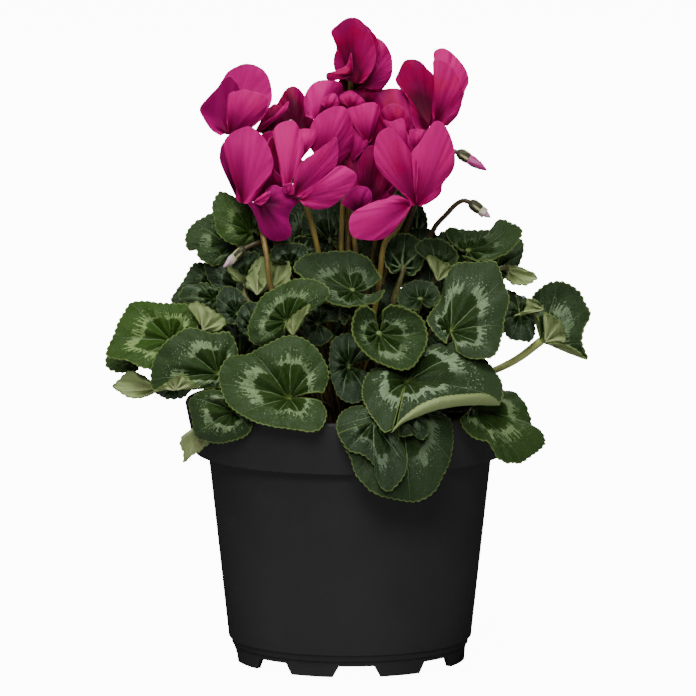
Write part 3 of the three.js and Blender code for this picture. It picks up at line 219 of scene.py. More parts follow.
LEAVES["leaf_far_right"] = [
    outline((76.4, 126.8, 0), -2, [
        (79.2, 125.6, -4), (84, 125.6, -6), (90, 123.2, -8), (94.8, 119.2, -8), (92.6, 126, -6),
        (93.6, 132, -4), (96, 137, -2), (93.6, 143, 2), (92, 146.4, 3), (86, 150, 5),
        (80, 150.2, 6), (74.4, 146.4, 3), (72.4, 142, -2),
        (75.6, 134.5, -3)], stalk_tone=1.0, stalk_width=1.9,
        via=[(20, 104, 0), (50, 112, 3), (66, 119, 3)]),
    outline((77.5, 139.2, -3.5), 0.8, [
        (64.8, 136.6, -5), (70, 139.4, -5), (70.4, 143.4, -4), (73.5, 143.4, -4),
        (76.4, 141.4, -3.5)], flap=True, tone=0.2),
    outline((77.8, 126.4, -4.5), 1.5, [
        (76.4, 138, -5), (80, 137, -7), (83.5, 134.5, -8), (85.5, 130.5, -8),
        (86, 126, -7.5)], flap=True, tone=0.3),
]
LEAVES["leaf_right_top"] = [
    outline((47.2, 163.2, 5), -2, [
        (44.8, 160.8, 2), (52, 159.2, -2), (60, 160.8, -2), (66.8, 166, 2), (68.8, 170.8, 6),
        (64, 174.4, 12), (59.6, 175.6, 14), (56.8, 171, 13), (54, 171, 13), (48, 171.8, 14),
        (42, 172, 14), (38.8, 171, 12), (39.6, 167.4, 8), (42, 164.6, 5)]),
]
LEAVES["leaf_right_funnel"] = [
    outline((34.6, 156, -3), -1.5, [
        (37, 155.4, -5), (40.4, 156, -6), (43, 160.4, -6), (38.4, 166.4, -1), (32.8, 167.6, 1),
        (28, 167, 1), (26, 163.6, -1), (29.6, 160, -3)]),
    outline((34.8, 150.6, -6), 1.2, [
        (30, 160, -7), (33, 160.6, -8), (36, 158.4, -8.5), (41.6, 155.6, -8),
        (40.6, 152.8, -7)], flap=True),
]
LEAVES["leaf_right_behind"] = [
    outline((68, 137, 4), 2, [
        (63.6, 143, 8), (61.6, 138.4, 4), (61.4, 132.4, -1), (64, 128, -5), (69, 126.4, -6),
        (73, 128, -4), (74, 133, 1), (73, 140.4, 6), (70, 144.8, 9), (66, 145.2, 10)]),
    outline((64, 134, 10), 1.5, [
        (69, 134, 9), (70, 140, 11), (68, 145, 13), (64, 147, 14), (60, 146, 13), (58, 141, 11),
        (59, 134, 9)]),
]
LEAVES["leaf_top_left"] = [
    outline((-39.6, 170, 4), 2, [
        (-36.6, 168.6, 2), (-37.2, 174.4, 5), (-40, 181, 8), (-45.6, 184, 9), (-51.6, 186.6, 9),
        (-54.8, 182, 6), (-54.4, 176, 3), (-51.2, 168, -1), (-44.5, 164.8, -2), (-38.4, 165, 0)]),
]
LEAVES["leaf_top_far_left"] = [
    outline((-47.4, 163.8, 12), 2, [
        (-51, 173, 15), (-54.8, 178, 17), (-59.2, 176, 16), (-63.2, 173.6, 14), (-66, 168.4, 11),
        (-64.8, 163.2, 8), (-61.6, 163.4, 8), (-60.6, 160, 6), (-55.2, 157.2, 5), (-51.2, 157.8, 6),
        (-48, 160.6, 9)]),
]
LEAVES["leaves_inner_front"] = [
    outline((-12.8, 133.2, -24), 2, [
        (-4.8, 134.4, -26), (-4.8, 139, -24), (-10, 141.4, -22), (-16, 141.2, -22),
        (-18.5, 137.2, -24), (-18.5, 130.4, -28), (-16.8, 125.6, -31), (-10, 125.6, -31),
        (-6.4, 128.8, -29)]),
    outline((0, 136, -28), 1, [
        (1.6, 133, -30), (4.4, 137.6, -29), (1, 140, -27.5), (-3.6, 139.4, -27.5), (-4, 135.4, -29),
        (-2, 132.6, -31)]),
    outline((-0.8, 116.4, -33), 2, [
        (8.8, 119.2, -32), (7.2, 126.6, -30), (0, 129.6, -29), (-6.4, 127.6, -31), (-8, 121.2, -34),
        (-7.6, 113.2, -38), (-4.8, 105.2, -43), (0.8, 102.4, -46), (7.2, 105.4, -43),
        (9.6, 112.4, -37)]),
]
LEAVES["leaves_inner_left"] = [
    outline((-44.8, 137, -13), 1.5, [
        (-41.2, 143.2, -12), (-44.8, 147.2, -9), (-50, 148, -8), (-53, 143.2, -10),
        (-51.6, 136.6, -14), (-47.2, 133.4, -17), (-42, 134, -17)]),
    outline((-38.4, 132, -24), 1, [
        (-35.4, 136, -25), (-36.8, 141.6, -23), (-41.2, 142, -21), (-44, 138.4, -21),
        (-44.2, 132, -23), (-40.8, 129, -26)]),
    # The blades from here on fill gaps deep in the plant; their darkest greens are painted shade
    outline((-46, 130, 2), 1.5, [
        (-38, 131, 1), (-36, 139, 3), (-41, 147, 6), (-48, 149, 7), (-55, 144, 5), (-57, 136, 3),
        (-53, 130, 1)]),
    outline((-44, 119, 0), 1.5, [
        (-35, 119, -1), (-33, 127, 1), (-37, 135, 3), (-45, 137, 4), (-53, 134, 3), (-55, 126, 1),
        (-52, 119, -1)], tone=0),
    outline((-14, 124, 4), 1.5, [
        (-4, 124, 3), (-2, 133, 5), (-6, 142, 7), (-15, 145, 8), (-24, 142, 7), (-27, 133, 5),
        (-23, 124, 3)], tone=0),
    outline((-31, 160, 4), 1.5, [
        (-24, 160, 3), (-24, 166, 5), (-28, 170, 6), (-34, 171, 6), (-38, 167, 5), (-38, 161, 3),
        (-34, 158, 3)]),
    outline((-39, 140, -4), 1.5, [
        (-32, 140, -5), (-32, 147, -3), (-36, 152, -2), (-42, 152, -2), (-46, 147, -3),
        (-46, 141, -5), (-42, 138, -6)]),
    outline((-23, 150, 2), 1.5, [
        (-15, 150, 1), (-13, 157, 3), (-18, 163, 4), (-25, 164, 5), (-31, 160, 4), (-32, 153, 2),
        (-29, 150, 1)]),
    outline((-37, 166, 6), 1.5, [
        (-31, 166, 5), (-30, 174, 7), (-33, 181, 8), (-38, 182, 8), (-42, 178, 7), (-43, 171, 6),
        (-41, 166, 5)]),
    outline((-58, 126, 6), 1.5, [
        (-50, 126, 5), (-48, 134, 7), (-52, 141, 9), (-60, 143, 10), (-67, 139, 8), (-67, 131, 6),
        (-64, 126, 5)], tone=0),
    outline((-43, 148, 7), 1.5, [
        (-34, 146, 6), (-31, 156, 8), (-33, 166, 11), (-42, 171, 12), (-52, 168, 11), (-58, 159, 9),
        (-56, 150, 7), (-50, 146, 6)], silver=0.6),
]
LEAVES["leaves_middle_left"] = [
    outline((-41.6, 148, -3), 1.5, [
        (-43.4, 150, -3), (-47.2, 152, -2), (-48.8, 156, -2), (-44.8, 161, -5), (-40, 161.6, -7),
        (-36, 158.4, -8), (-36.8, 153.2, -7), (-39, 149.6, -5)]),
    outline((-30.4, 148.4, -9), -1.5, [
        (-24.4, 149.4, -14), (-23.6, 155, -12), (-26, 160.4, -8), (-32, 161.6, -5), (-35, 158, -10),
        (-36.6, 152, -12), (-34.4, 148, -13)], swap=True, tone=0),
    outline((-42, 152, -9), 0.8, [
        (-36.4, 157, -9.5), (-36.2, 161.6, -8.5), (-40, 162.4, -7.5), (-44.5, 160.6, -7),
        (-47, 156, -7.5)], flap=True),
    outline((-37, 145, -12), 1.5, [
        (-41.4, 148, -10.5), (-41.2, 153, -10.5), (-37.6, 158.5, -10.5), (-33.4, 160.4, -11),
        (-30.6, 156, -12.5), (-31, 149, -13.5)], flap=True, tone=0),
    outline((-24, 157, -9), 0.8, [
        (-16.6, 160, -9.5), (-17.6, 164.4, -8), (-24, 165.6, -7), (-30.4, 164.2, -7.5),
        (-32.2, 159, -9.5)], flap=True, tone=0, silver=0.5),
]
LEAVES["leaves_behind_left"] = [
    outline((-54, 148.4, 16), 2, [
        (-47.2, 154.4, 15), (-54, 157, 17), (-62, 158.4, 14), (-66.8, 151.2, 11), (-71.6, 142.4, 7),
        (-64, 141.4, 6), (-54, 142.4, 8), (-48, 147.2, 11)]),
    outline((-54, 143, 0), 2, [
        (-51.2, 147.4, 1), (-58, 149.6, 3), (-66, 148, 2), (-68.4, 144, 0), (-64, 141.6, -2),
        (-58, 139.6, -4), (-52, 139.6, -3)]),
    outline((-84, 121, 0), 1, [
        (-84, 126, 3), (-92, 125, 3), (-97, 121, 1), (-97.4, 116.5, -2), (-91, 114.4, -5),
        (-84.4, 115.4, -5)], tone=0.7, silver=0.3),
]
LEAVES["leaves_behind_middle"] = [
    outline((-8, 167, 8), 2, [
        (-5.4, 163, 6), (-4.4, 168, 8), (-4.6, 175.2, 12), (-7.6, 181, 15), (-13, 182, 15),
        (-18.8, 177.2, 13), (-19, 169.2, 9)]),
    outline((-20, 162.4, 6), 1.5, [
        (-21.5, 160, 3), (-23, 166, 6), (-21.2, 168.4, 8), (-15.4, 168, 8), (-12.4, 163.4, 5),
        (-16, 159.6, 3)], swap=True),
    # The blades from here on fill gaps deep in the plant; their darkest greens are painted shade
    outline((-17, 158, 12), 1.5, [
        (-10, 158, 11), (-7, 166, 13), (-8, 177, 16), (-14, 186, 18), (-22, 187, 18),
        (-28, 180, 16), (-29, 168, 13), (-25, 158, 11)], silver=0.7),
    outline((-2, 156, 16), 1.5, [
        (5, 157, 15), (9, 165, 17), (8, 177, 20), (3, 186, 22), (-5, 187, 22), (-11, 180, 20),
        (-13, 168, 17), (-8, 157, 15)], silver=0.7),
    outline((20, 160, 16), 1.5, [
        (25, 160, 15), (24.4, 168, 17), (24.6, 176, 19), (21, 182, 20), (15, 178, 19),
        (13, 168, 17), (15, 160, 15)]),
    outline((14, 150, 13), 1.5, [
        (22, 149, 12), (26, 157, 14), (24, 165, 17), (17, 170, 19), (9, 169, 19), (3, 162, 16),
        (4, 153, 13)]),
    outline((9, 133, 6), 1.5, [
        (17, 134, 5), (21, 142, 8), (18, 150, 11), (10, 153, 13), (2, 150, 11), (-2, 142, 8),
        (1, 134, 5)], tone=0),
    outline((2, 108, 22), 1.5, [
        (14, 108, 22), (20, 118, 24), (18, 132, 26), (6, 142, 28), (-8, 137, 27), (-14, 122, 24),
        (-10, 109, 22)], tone=0),
]
LEAVES["leaves_behind_right"] = [
    outline((27, 170.4, 22), 2, [
        (22.2, 171, 22), (23.8, 181.2, 26), (28, 182.4, 27), (30.6, 178, 26), (31, 171.4, 22),
        (29, 165, 19)], swap=True),
    outline((21, 156, 2), 2, [
        (16.8, 153.4, -2), (13.8, 158.4, 0), (14.4, 165.2, 4), (19.2, 169.6, 7), (25.6, 168.8, 8),
        (29.2, 163.2, 6), (28.8, 157, 3), (24.8, 152.6, 0)], swap=True),
    # The blades from here on fill gaps deep in the plant; their darkest greens are painted shade
    outline((31, 140, 8), 1.5, [
        (37, 140, 7), (40, 148, 9), (37, 157, 12), (31, 162, 14), (25, 158, 12), (22, 149, 9),
        (25, 141, 7)], tone=0),
    outline((43, 152, 10), 1.5, [
        (50, 152, 9), (52, 160, 11), (49, 167, 13), (43, 171, 14), (36, 170, 13), (34, 161, 11),
        (37, 152, 9)]),
    outline((28, 160, 12), 1.5, [
        (35, 160, 11), (36.5, 166, 13), (33, 171, 14), (27, 172, 14.5), (21, 170, 14),
        (19, 164, 12), (21, 160, 11)]),
    outline((41, 118, 3), 1.5, [
        (48, 118, 2), (50, 126, 4), (46, 134, 6), (40, 136, 7), (33, 133, 6), (31, 125, 4),
        (35, 118, 2)], tone=0),
    outline((29, 124, 12), 1.5, [
        (38, 124, 11), (41, 132, 13), (38, 141, 15), (30, 144, 16), (22, 141, 15), (19, 132, 13),
        (22, 124, 11)], tone=0),
    outline((19, 176, 24), 1, [
        (24, 176, 23), (26, 183, 25), (23, 190, 27), (17, 191, 28), (12, 187, 27), (12, 179, 24)]),
]
LEAVES["leaves_far_behind_right"] = [
    outline((58, 154, 22), 2, [
        (60, 150, 18), (68, 158, 20), (69.6, 167, 25), (60, 170, 28), (50, 168, 27), (46, 160, 24),
        (50, 151, 19)]),
    outline((63, 155.6, 8), 1, [
        (62.4, 157.4, 9), (68, 156.4, 8), (75, 152.4, 6), (72, 150, 5), (66, 149.2, 5),
        (62, 152, 6)]),
]

# The leaves on the far side: (azimuth, distance, height, length, droop, turn)
BACK_LEAVES = {
    "leaves_back_right": [(36, 56, 118, 23, 42, 0), (46, 43, 146, 18, 26, -8)],
    "leaves_back_middle_right": [
        (69, 63, 119, 24, 42, 6), (86, 44, 145, 18, 28, -10), (62, 31, 167, 15, 18, 8),
        (74, 31, 126, 13, 50, 0)],
    "leaves_back_middle_left": [
        (106, 62, 119, 24, 41, -4), (121, 46, 145, 18, 27, 7), (100, 33, 167, 14, 22, -3)],
    "leaves_back_left": [(141, 57, 119, 23, 44, 6), (142, 36, 166, 12, 20, 6)],
}

# How light a node's green is, partly its own colour and partly painted light and shade, darkest for
# the leaves deep in the plant, how strong its silver zone is, and where its stalks leave the crown,
# where this isn't simply towards the leaf
LEAF_NODES = {
    "leaf_left_pale": (0.95, 1.0, (-17.5, -1)), "leaf_left": (0.35, 1.4),
    "leaf_left_turned": (0.3, 0.0, (-20, -4.5)), "leaf_left_low": (0.4, 1.4),
    "leaf_left_tip": (0.4, 0.0, (-16, -9.5)), "leaf_front": (0.45, 1.0),
    "leaf_front_drooping": (0.2, 0.6), "leaf_front_right": (0.25, 1.4), "leaf_heart": (0.4, 0.8),
    "leaf_right_low": (0.6, 0.9), "leaf_right_upright": (0.3, 1.0), "leaf_left_upper": (0.5, 0.9),
    "leaf_middle": (0.3, 0.6), "leaf_right_cup": (0.1, 0.0, (8.5, -3.5)),
    "leaf_far_right": (0.3, 0.9), "leaf_right_top": (0.35, 0.4), "leaf_right_funnel": (0.2, 0.2),
    "leaf_right_behind": (0.0, 0.1, (17, 4.5)), "leaf_top_left": (0.75, 0.5, (-9, 2.5)),
    "leaf_top_far_left": (0.35, 0.8, (-9, 7.5)), "leaves_inner_front": (0.0, 0.1, (-2, -8)),
    "leaves_inner_left": (0.0, 0.3, (-9.5, -4.5)), "leaves_middle_left": (0.3, 0.4, (-8.5, -1)),
    "leaves_behind_left": (0.2, 0.5, (-12, 4.5)), "leaves_behind_middle": (0.1, 0.3, (0, 9)),
    "leaves_behind_right": (0.1, 0.2, (8, 8.5)), "leaves_far_behind_right": (0.2, 0.3, (15.5, 10)),
    "leaves_back_right": (0.35, 0.9, (14, 13)), "leaves_back_middle_right": (0.35, 0.9, (5, 16)),
    "leaves_back_middle_left": (0.35, 0.9, (-5, 16)), "leaves_back_left": (0.35, 0.9, (-14, 13)),
}

# The flowers: the mouth, the azimuths and length of the petals behind it, where the stem starts,
# what it passes, and the azimuth that it hooks over from
FLOWERS = {
    "flower_top_left": dict(
        mouth=(-45.5, 208, 0), length=22, behind=[60], hook=20, foot=(-4.5, 1.5),
        stem=[(-18, 140, 2), (-29.5, 166, 1.5), (-35, 188, 8), (-38, 199, 6)]),
    "flower_left_behind": dict(
        mouth=(-23.5, 207, 24), length=13, behind=[80], hook=112, foot=(-5.5, 7),
        stem=[(-8, 140, 12), (-14, 165, 19), (-19, 186, 25)]),
    "flower_top": dict(
        mouth=(1.6, 229.6, 5), length=21, behind=[90], hook=102, foot=(0, 2.5),
        stem=[(-1, 140, 6), (-0.5, 185, 13), (-1, 212, 15)]),
    "flower_top_right": dict(
        mouth=(33.2, 212, 6), length=17, behind=[85], hook=128, foot=(4, 5.5),
        stem=[(10, 135, 8.5), (18, 168, 13.5), (26, 192, 12)]),
    "flower_left": dict(
        mouth=(-39.5, 182, -10), length=17, behind=[110], hook=70, foot=(-7.5, -6.5),
        stem=[(-31, 146, -18), (-33, 160, -17), (-35.4, 172, -8)]),
    "flower_middle_left": dict(
        mouth=(-20, 183, -14), length=22, behind=[160], hook=65, foot=(-2.2, -3), stalk_tone=0.8,
        stem=[(-8, 130, -4), (-12.4, 161, -5), (-15.4, 174, -6)]),
    "flower_middle": dict(
        mouth=(-6.8, 198, -3), length=25, behind=[80], hook=40, foot=(-1.5, 0),
        stem=[(-2, 130, 0), (-3.5, 160, 2), (-3, 180, 2)]),
    "flower_middle_right": dict(
        mouth=(15, 200, 8), behind=[], hook=0, foot=(3.2, 1), stem=[(6, 140, 3), (12, 175, 6)]),
    "flower_low_middle": dict(
        mouth=(7, 178, -3), length=17, behind=[35, 85], hook=150, foot=(1.4, -2.6),
        stem=[(2, 126, -2.6), (3.4, 150, -3.4)]),
    # The stalk tone of flower_right paints light onto its stem, which stands in shade
    "flower_right": dict(
        mouth=(26, 182, -13), length=19, behind=[35, 85], hook=125, foot=(4.8, -3), stalk_tone=0.8,
        stem=[(8, 128, -6), (11.6, 150, -9), (14, 166, -12), (19, 172, -13)]),
}

# Their petals. Tone is how light one is, partly its own colour and partly painted light and shade;
# split how far its two halves differ, as painted light falling across its fold; violet a share
PETALS = {}
PETALS["flower_top_left"] = [
    outline((-47.67, 209.9, 1), 1.5, [
        (-52, 219.2), (-52.67, 226.5), (-51, 230.5), (-48.67, 234.2), (-45.33, 236.2), (-42, 237.4),
        (-39, 237.2), (-36.33, 236.2), (-33.67, 233.9), (-32, 230.5), (-31.2, 226.5),
        (-31.2, 222.9), (-32.67, 219.2), (-35.33, 215.2),
        (-40, 211.2)], far=9, tone=0.55, violet=0.35),
    outline((-48.33, 208.9, -1), -2, [
        (-43.67, 224.5), (-44.53, 228.5), (-46, 230.5), (-48, 232), (-51, 229.9), (-52.67, 227.2),
        (-56, 223.9), (-59.67, 219.2), (-58, 215.2), (-54.67, 210.5),
        (-51.33, 208.5)], far=-4, tone=0.35, violet=0.5),
    outline((-47.67, 208.2, -4), -2.5, [
        (-48.8, 215.9, -5.82), (-48.67, 221.9, -7.22), (-47.67, 224.9, -7.91),
        (-44.67, 225.9, -8.21), (-42, 226.4, -8.48), (-38, 225.5, -8.66), (-34, 224.5, -9),
        (-32.33, 222.9, -8.98), (-32.67, 220.5, -8.56), (-34, 217.2, -7.84), (-38, 213.2, -6.56),
        (-40.33, 211.7, -5.91), (-44.33, 209.5, -4.84)], tone=0.4, violet=0.1),
]
PETALS["flower_left_behind"] = [
    outline((-22, 209.9, 22), -2, [
        (-30.67, 213.2), (-30.67, 219.2), (-28.67, 222.9), (-26.67, 226.5), (-25, 228.4),
        (-22.67, 229.1), (-20.33, 227.9), (-18.33, 225.2), (-17.47, 221.9), (-15.33, 217.9),
        (-15, 213.2), (-17.33, 209.9)], far=27, tone=-0.2),
    outline((-32, 208.5, 18), -1, [
        (-38, 210.9), (-35.33, 215.9), (-32.67, 219.9), (-30, 221.9), (-27.33, 219.2),
        (-28.67, 213.9)], far=20, tone=-0.15),
    outline((-36.67, 210.7, 15), -0.8, [
        (-35.33, 213.9), (-30.67, 216.5), (-26.67, 219.9), (-24.53, 222.7), (-25, 219.9),
        (-26.67, 217.9), (-30, 215.2), (-33.33, 212.7)], far=13, tone=0.65),
]
PETALS["flower_top"] = [
    outline((2, 229.2, -1), 0.8, [
        (-2.5, 232.7), (-5.75, 234.2), (-6.5, 237.7), (-6.2, 240.2), (-5.35, 243), (-6.5, 246.7),
        (-7.5, 249.7), (-5, 252.2), (-2, 254.5), (0.5, 255.1), (3.5, 254.5), (5.75, 252.5),
        (7.1, 250.6), (8.75, 247.2), (10.1, 242.7), (10.35, 239.2), (9.5, 235.7), (7.5, 232.2),
        (5, 229.2)], far=-2, tone=0.08, split=0.2),
    outline((3.5, 228.7, 3), 1, [
        (7, 244.2), (7.25, 250.2), (8.75, 249.7), (10.6, 247.5), (11.6, 244.2), (11.5, 239.2),
        (10, 233.2)], far=3, tone=0.1),
    outline((5, 228.2, 5), -2, [
        (8, 239.2), (10, 244.2), (10.6, 247.4), (13, 246.2), (15, 243.7), (16.5, 240.2),
        (16.9, 236.7), (16.5, 232.7), (14.5, 229.2), (12, 226.7),
        (9, 227)], far=6, tone=0.25, violet=0.25),
    outline((1, 232, -6), -1, [
        (-3.5, 230.6), (-9, 230.4), (-9.4, 232.8), (-6.5, 233.5), (-3.5, 234.7), (-1.25, 236.2),
        (-0.4, 238.2), (0.4, 241.2), (0.9, 238.2)], far=-8, tone=0.1),
    outline((1.6, 231, 9), -1, [
        (6.5, 231.5, 11), (-3.5, 231.5, 11), (-5.4, 227.5, 13.5), (-3, 223, 14), (4, 223, 14),
        (7.6, 226.6, 13.5), (6.5, 231, 11)], tone=-0.2),
]
PETALS["flower_top_right"] = [
    outline((31.56, 212.3, -2), 0.8, [
        (30.6, 208.6, -2), (25.6, 212, -1), (23.02, 223.6, 0.05), (19.82, 227.9, 0.8),
        (18.04, 230.4, 1.25), (19.47, 234.3, 1.62), (21.6, 238.2, 2), (24.09, 238.9, 1.98),
        (27.64, 238.2, 1.78), (30.84, 235, 1.28), (33.33, 232.3, 0.897), (33.55, 225.1, -0.136),
        (33.2, 216.5, -1.37), (33.4, 210.6, -2)], tone=-0.05),
    outline((33.69, 212.6, -5), -2.5, [
        (32.62, 217.2, -4.45), (33.33, 225.1, -3.55), (33.69, 232.2, -2.73), (33.33, 238.4, -2),
        (38.67, 237.2, -2.09), (42.22, 232.9, -2.44), (44.36, 228.6, -2.77), (44.5, 222.2, -3.32),
        (42.58, 216.5, -3.87), (38.67, 212.3, -4.42)], tone=0.25),
    outline((35.82, 213.7, 3), -1.5, [
        (34.4, 227.2, 5.27), (33.69, 237.9, 7.06), (33.69, 242.3, 7.8), (36.89, 243.6, 8),
        (40.09, 242.1, 7.81), (43.64, 238.6, 7.36), (46.49, 234.3, 6.88), (47.34, 230, 6.35),
        (45.78, 226.5, 5.71), (45.07, 223.6, 5.27), (41.51, 216.5, 4.06)], tone=0.5),
]
PETALS["flower_left"] = [
    outline((-42.67, 181.5, -13), -2, [
        (-45, 183.2, -13.4), (-45.33, 188.5, -14), (-47.67, 195.2, -14.9), (-49.33, 200.5, -15.7),
        (-49.67, 205.9, -16.4), (-46.67, 209.2, -16.7), (-43.33, 210.7, -16.9), (-40, 211.5, -17),
        (-37.33, 210.2, -16.9), (-33.33, 205.9, -16.5), (-31, 200.5, -16), (-30.33, 197.2, -15.6),
        (-31.67, 192.5, -15.1), (-34, 189.2, -14.5), (-36.67, 184.5, -13.9),
        (-38.67, 181.9, -13.5)], tone=0.6, split=0.6, violet=0.2),
    outline((-44.53, 182.5, -10), -0.5, [
        (-46.33, 187.2), (-48, 191.2), (-50.33, 195.2), (-51.67, 199.2), (-51.33, 202.5),
        (-51, 204.2), (-49.33, 206.2), (-47, 202.5), (-46, 195.2)], far=-13, tone=0.0, violet=0.7),
    outline((-33.33, 183.9, -6), 1, [
        (-38.4, 183, -5.62), (-36.67, 195.9, -4.6), (-36.67, 205.9, -3.49), (-35.33, 208.7, -3.19),
        (-30.67, 210.3, -3), (-28.67, 208.5, -3.17), (-27.33, 201.2, -3.93), (-26.67, 193.9, -4.64),
        (-27, 188.5, -5.11), (-30.67, 185.9, -5.62)], tone=0.15),
    outline((-37.87, 181.5, -15), -0.6, [
        (-37.2, 182.8, -15.5), (-33.33, 185.5, -17.3), (-31.47, 186.1, -18), (-32.53, 182.5, -17.1),
        (-35.2, 180.5, -16.1)], tone=0.8),
    outline((-35.33, 181.5, -13), 2, [
        (-41.4, 182.6, -12.9), (-38.9, 179, -12.8), (-37, 175.2, -12.6), (-35.33, 170.5, -12.4),
        (-32, 167.2, -12.2), (-28.67, 166.5, -12.1), (-24.33, 167.9, -12), (-23.33, 170.5, -12.1),
        (-24.53, 175.2, -12.3), (-23.2, 179.2, -12.3), (-20.33, 182.5, -12.1),
        (-24.67, 185.6, -12.4), (-30, 188.6, -12.6),
        (-33.4, 186.4, -12.8)], tone=0.15, violet=0.75),
]
PETALS["flower_middle_left"] = [
    outline((-24.67, 184.5, -14), -2, [
        (-26.8, 188.5), (-27.67, 193.9), (-28.67, 200.5), (-30, 205.9), (-30.33, 209.9),
        (-28.67, 212.5), (-25.33, 213.9), (-22.33, 213.9), (-20.33, 211.2), (-19, 206.5),
        (-18.33, 202.5), (-19.33, 198.5), (-22, 193.9),
        (-23.87, 189.2)], far=-11, tone=0.75, split=-0.25),
    outline((-19.33, 199.2, -9), -0.8, [
        (-18.33, 202.5), (-20.4, 206.5), (-20.4, 210.4), (-16, 210.9), (-14, 210.7),
        (-13.13, 208.5), (-14, 205.9), (-16, 203.2)], far=-9, tone=0.6),
    outline((-22, 183.9, -18), -1.5, [
        (-22.33, 188.5), (-21.67, 192.5), (-18.67, 197.9), (-14, 201.2), (-8.667, 205.2),
        (-5.467, 207.5), (-4.8, 203.9), (-4.667, 200.5), (-6, 195.2), (-10, 190.5), (-14, 186.5),
        (-18, 184)], far=-18, tone=0.35, split=0.3, violet=0.3),
    outline((-20, 182.9, -20), -2, [
        (-15.33, 184.7), (-10.67, 188.5), (-7.333, 193.5), (-4, 196), (-1.2, 195.2), (2.733, 192.4),
        (1.333, 188.5), (-4, 182.5), (-8.667, 179.5), (-14, 179.1),
        (-17.33, 180.2)], far=-25, tone=0.6, violet=0.25),
    outline((-24.53, 184.9, -17), -0.5, [
        (-26.67, 186.5), (-26.33, 188.5), (-24, 189.3), (-22.67, 188.5),
        (-21.87, 185.1)], far=-20, tone=0.85),
]
PETALS["flower_middle"] = [
    outline((-13.5, 214.2, 3), -2, [
        (-17.5, 216.2, 4.23), (-18.25, 221.2, 5.33), (-18, 224.2, 6.02), (-17, 226.7, 6.57),
        (-15, 229.2, 7.15), (-12.5, 230.5, 7.48), (-9.5, 230.8, 7.7), (-5.5, 230.5, 7.98),
        (-3.25, 229.2, 8), (-3, 226.7, 7.49), (-3.75, 224.2, 6.84), (-5, 219.7, 5.79),
        (-8, 216.7, 4.66)], tone=0.55, split=-0.6, violet=0.2),
    outline((-9.25, 219.2, 1), -0.8, [
        (-11.75, 221.7, 0.469), (-10.75, 223.2, 0.358), (-9.5, 224.2, 0.248),
        (-7.25, 225.2, 0.0499), (-5.5, 224.7, 0), (-4.75, 223.2, 0.0955), (-4.4, 221.2, 0.212),
        (-5, 220, 0.352), (-7.5, 219.5, 0.734)], tone=0.7),
    outline((-11, 198.2, -3), -2.5, [
        (-16.5, 205.2, -5.34), (-16, 210.2, -6.42), (-15, 213.2, -7.08), (-14, 215, -7.47),
        (-11, 217.7, -8.13), (-7.5, 219.5, -8.66), (-4, 219.9, -8.98), (-1.5, 219, -9),
        (0, 216.2, -8.55), (1, 211.7, -7.75), (1.25, 207.7, -7.08), (0.5, 204.2, -6.41),
        (-1, 200.7, -5.71), (-3, 198.2, -5.1), (-4.5, 196.6, -4.76),
        (-8, 196.5, -3.91)], tone=0.45, split=-0.3, violet=0.1),
    outline((-6, 188, 2), -1, [
        (-12, 192, 2), (-12.6, 199, 1), (-9, 205, 0), (-3, 205, 0), (1, 200, 1),
        (2, 193, 2)], tone=0.1),
]
PETALS["flower_middle_right"] = [
    outline((0, 219.2, 0), -1.5, [
        (-4, 222.2, 1.38), (-4, 224.2, 1.76), (-2, 225.7, 1.87), (0.5, 226.5, 2),
        (2.5, 225.2, 1.79), (5, 223.2, 1.76), (6.25, 221.5, 1.83), (3.5, 219.7, 0.973)], tone=0.5),
    outline((6, 219.2, 6), -1, [
        (1.5, 225.2, 7.74), (2.5, 227.4, 7.97), (5.5, 228.8, 8), (9, 229.4, 7.91),
        (12.4, 227.4, 7.58), (13, 222.2, 7.3), (11, 218.7, 6.94)], tone=0.1),
    outline((21, 202.2, 2), -2, [
        (14, 208.7, 3.47), (11, 217.7, 4.84), (10.5, 226, 6), (14, 227.2, 6), (19.5, 227.3, 5.87),
        (22, 226.3, 5.72), (25, 224.2, 5.44), (27, 220.7, 5), (27.6, 215.2, 4.25),
        (27.25, 210.7, 3.63), (24.5, 208.2, 3.07)], tone=0.2, split=0.4, violet=0.15),
    outline((7, 205.2, -2), -2, [
        (-0.5, 215.7, -3.56), (-0.9, 219, -3.91), (2.5, 220.2, -3.89), (6, 221.3, -3.94),
        (9.5, 221.6, -4), (11, 220.7, -3.93), (11.85, 218.2, -3.67), (11.25, 214.2, -3.2),
        (10, 210.2, -2.7), (8.75, 207.2, -2.32)], tone=0.35, split=-0.4),
    outline((1, 198, -1), -1, [
        (0.25, 206.2, -1.96), (0.5, 215, -2.98), (3.5, 215, -3), (6, 212.2, -2.76),
        (9.1, 208, -2.5), (7.5, 205.7, -2.18), (5, 204, -1.84),
        (3, 201.7, -1.49)], tone=0.8, violet=0.15),
    outline((18.5, 208.2, -2), -1.5, [
        (13.25, 215.2, -2.68), (12.9, 218.7, -2.93), (14, 220, -2.98), (17, 221, -3),
        (20, 220.2, -2.94), (23, 217.2, -2.78), (24, 213.7, -2.61),
        (23.75, 210.2, -2.44)], tone=0.05),
    outline((23, 200.7, -5), -1.2, [
        (18.5, 208.2, -6.54), (16, 211.7, -7.3), (13, 214.5, -8), (16, 214, -7.64),
        (18.5, 214.5, -7.55), (21, 215.1, -7.56), (21.9, 213.2, -7.21), (22.75, 209.2, -6.5),
        (25.8, 205.6, -5.75)], tone=0.5),
    outline((26, 202, -6), -1, [
        (23.75, 207.7, -7.37), (23.6, 210.2, -7.91), (25.5, 211, -8), (29.75, 210, -7.96),
        (28.5, 207.2, -7.29)], tone=0.55),
]
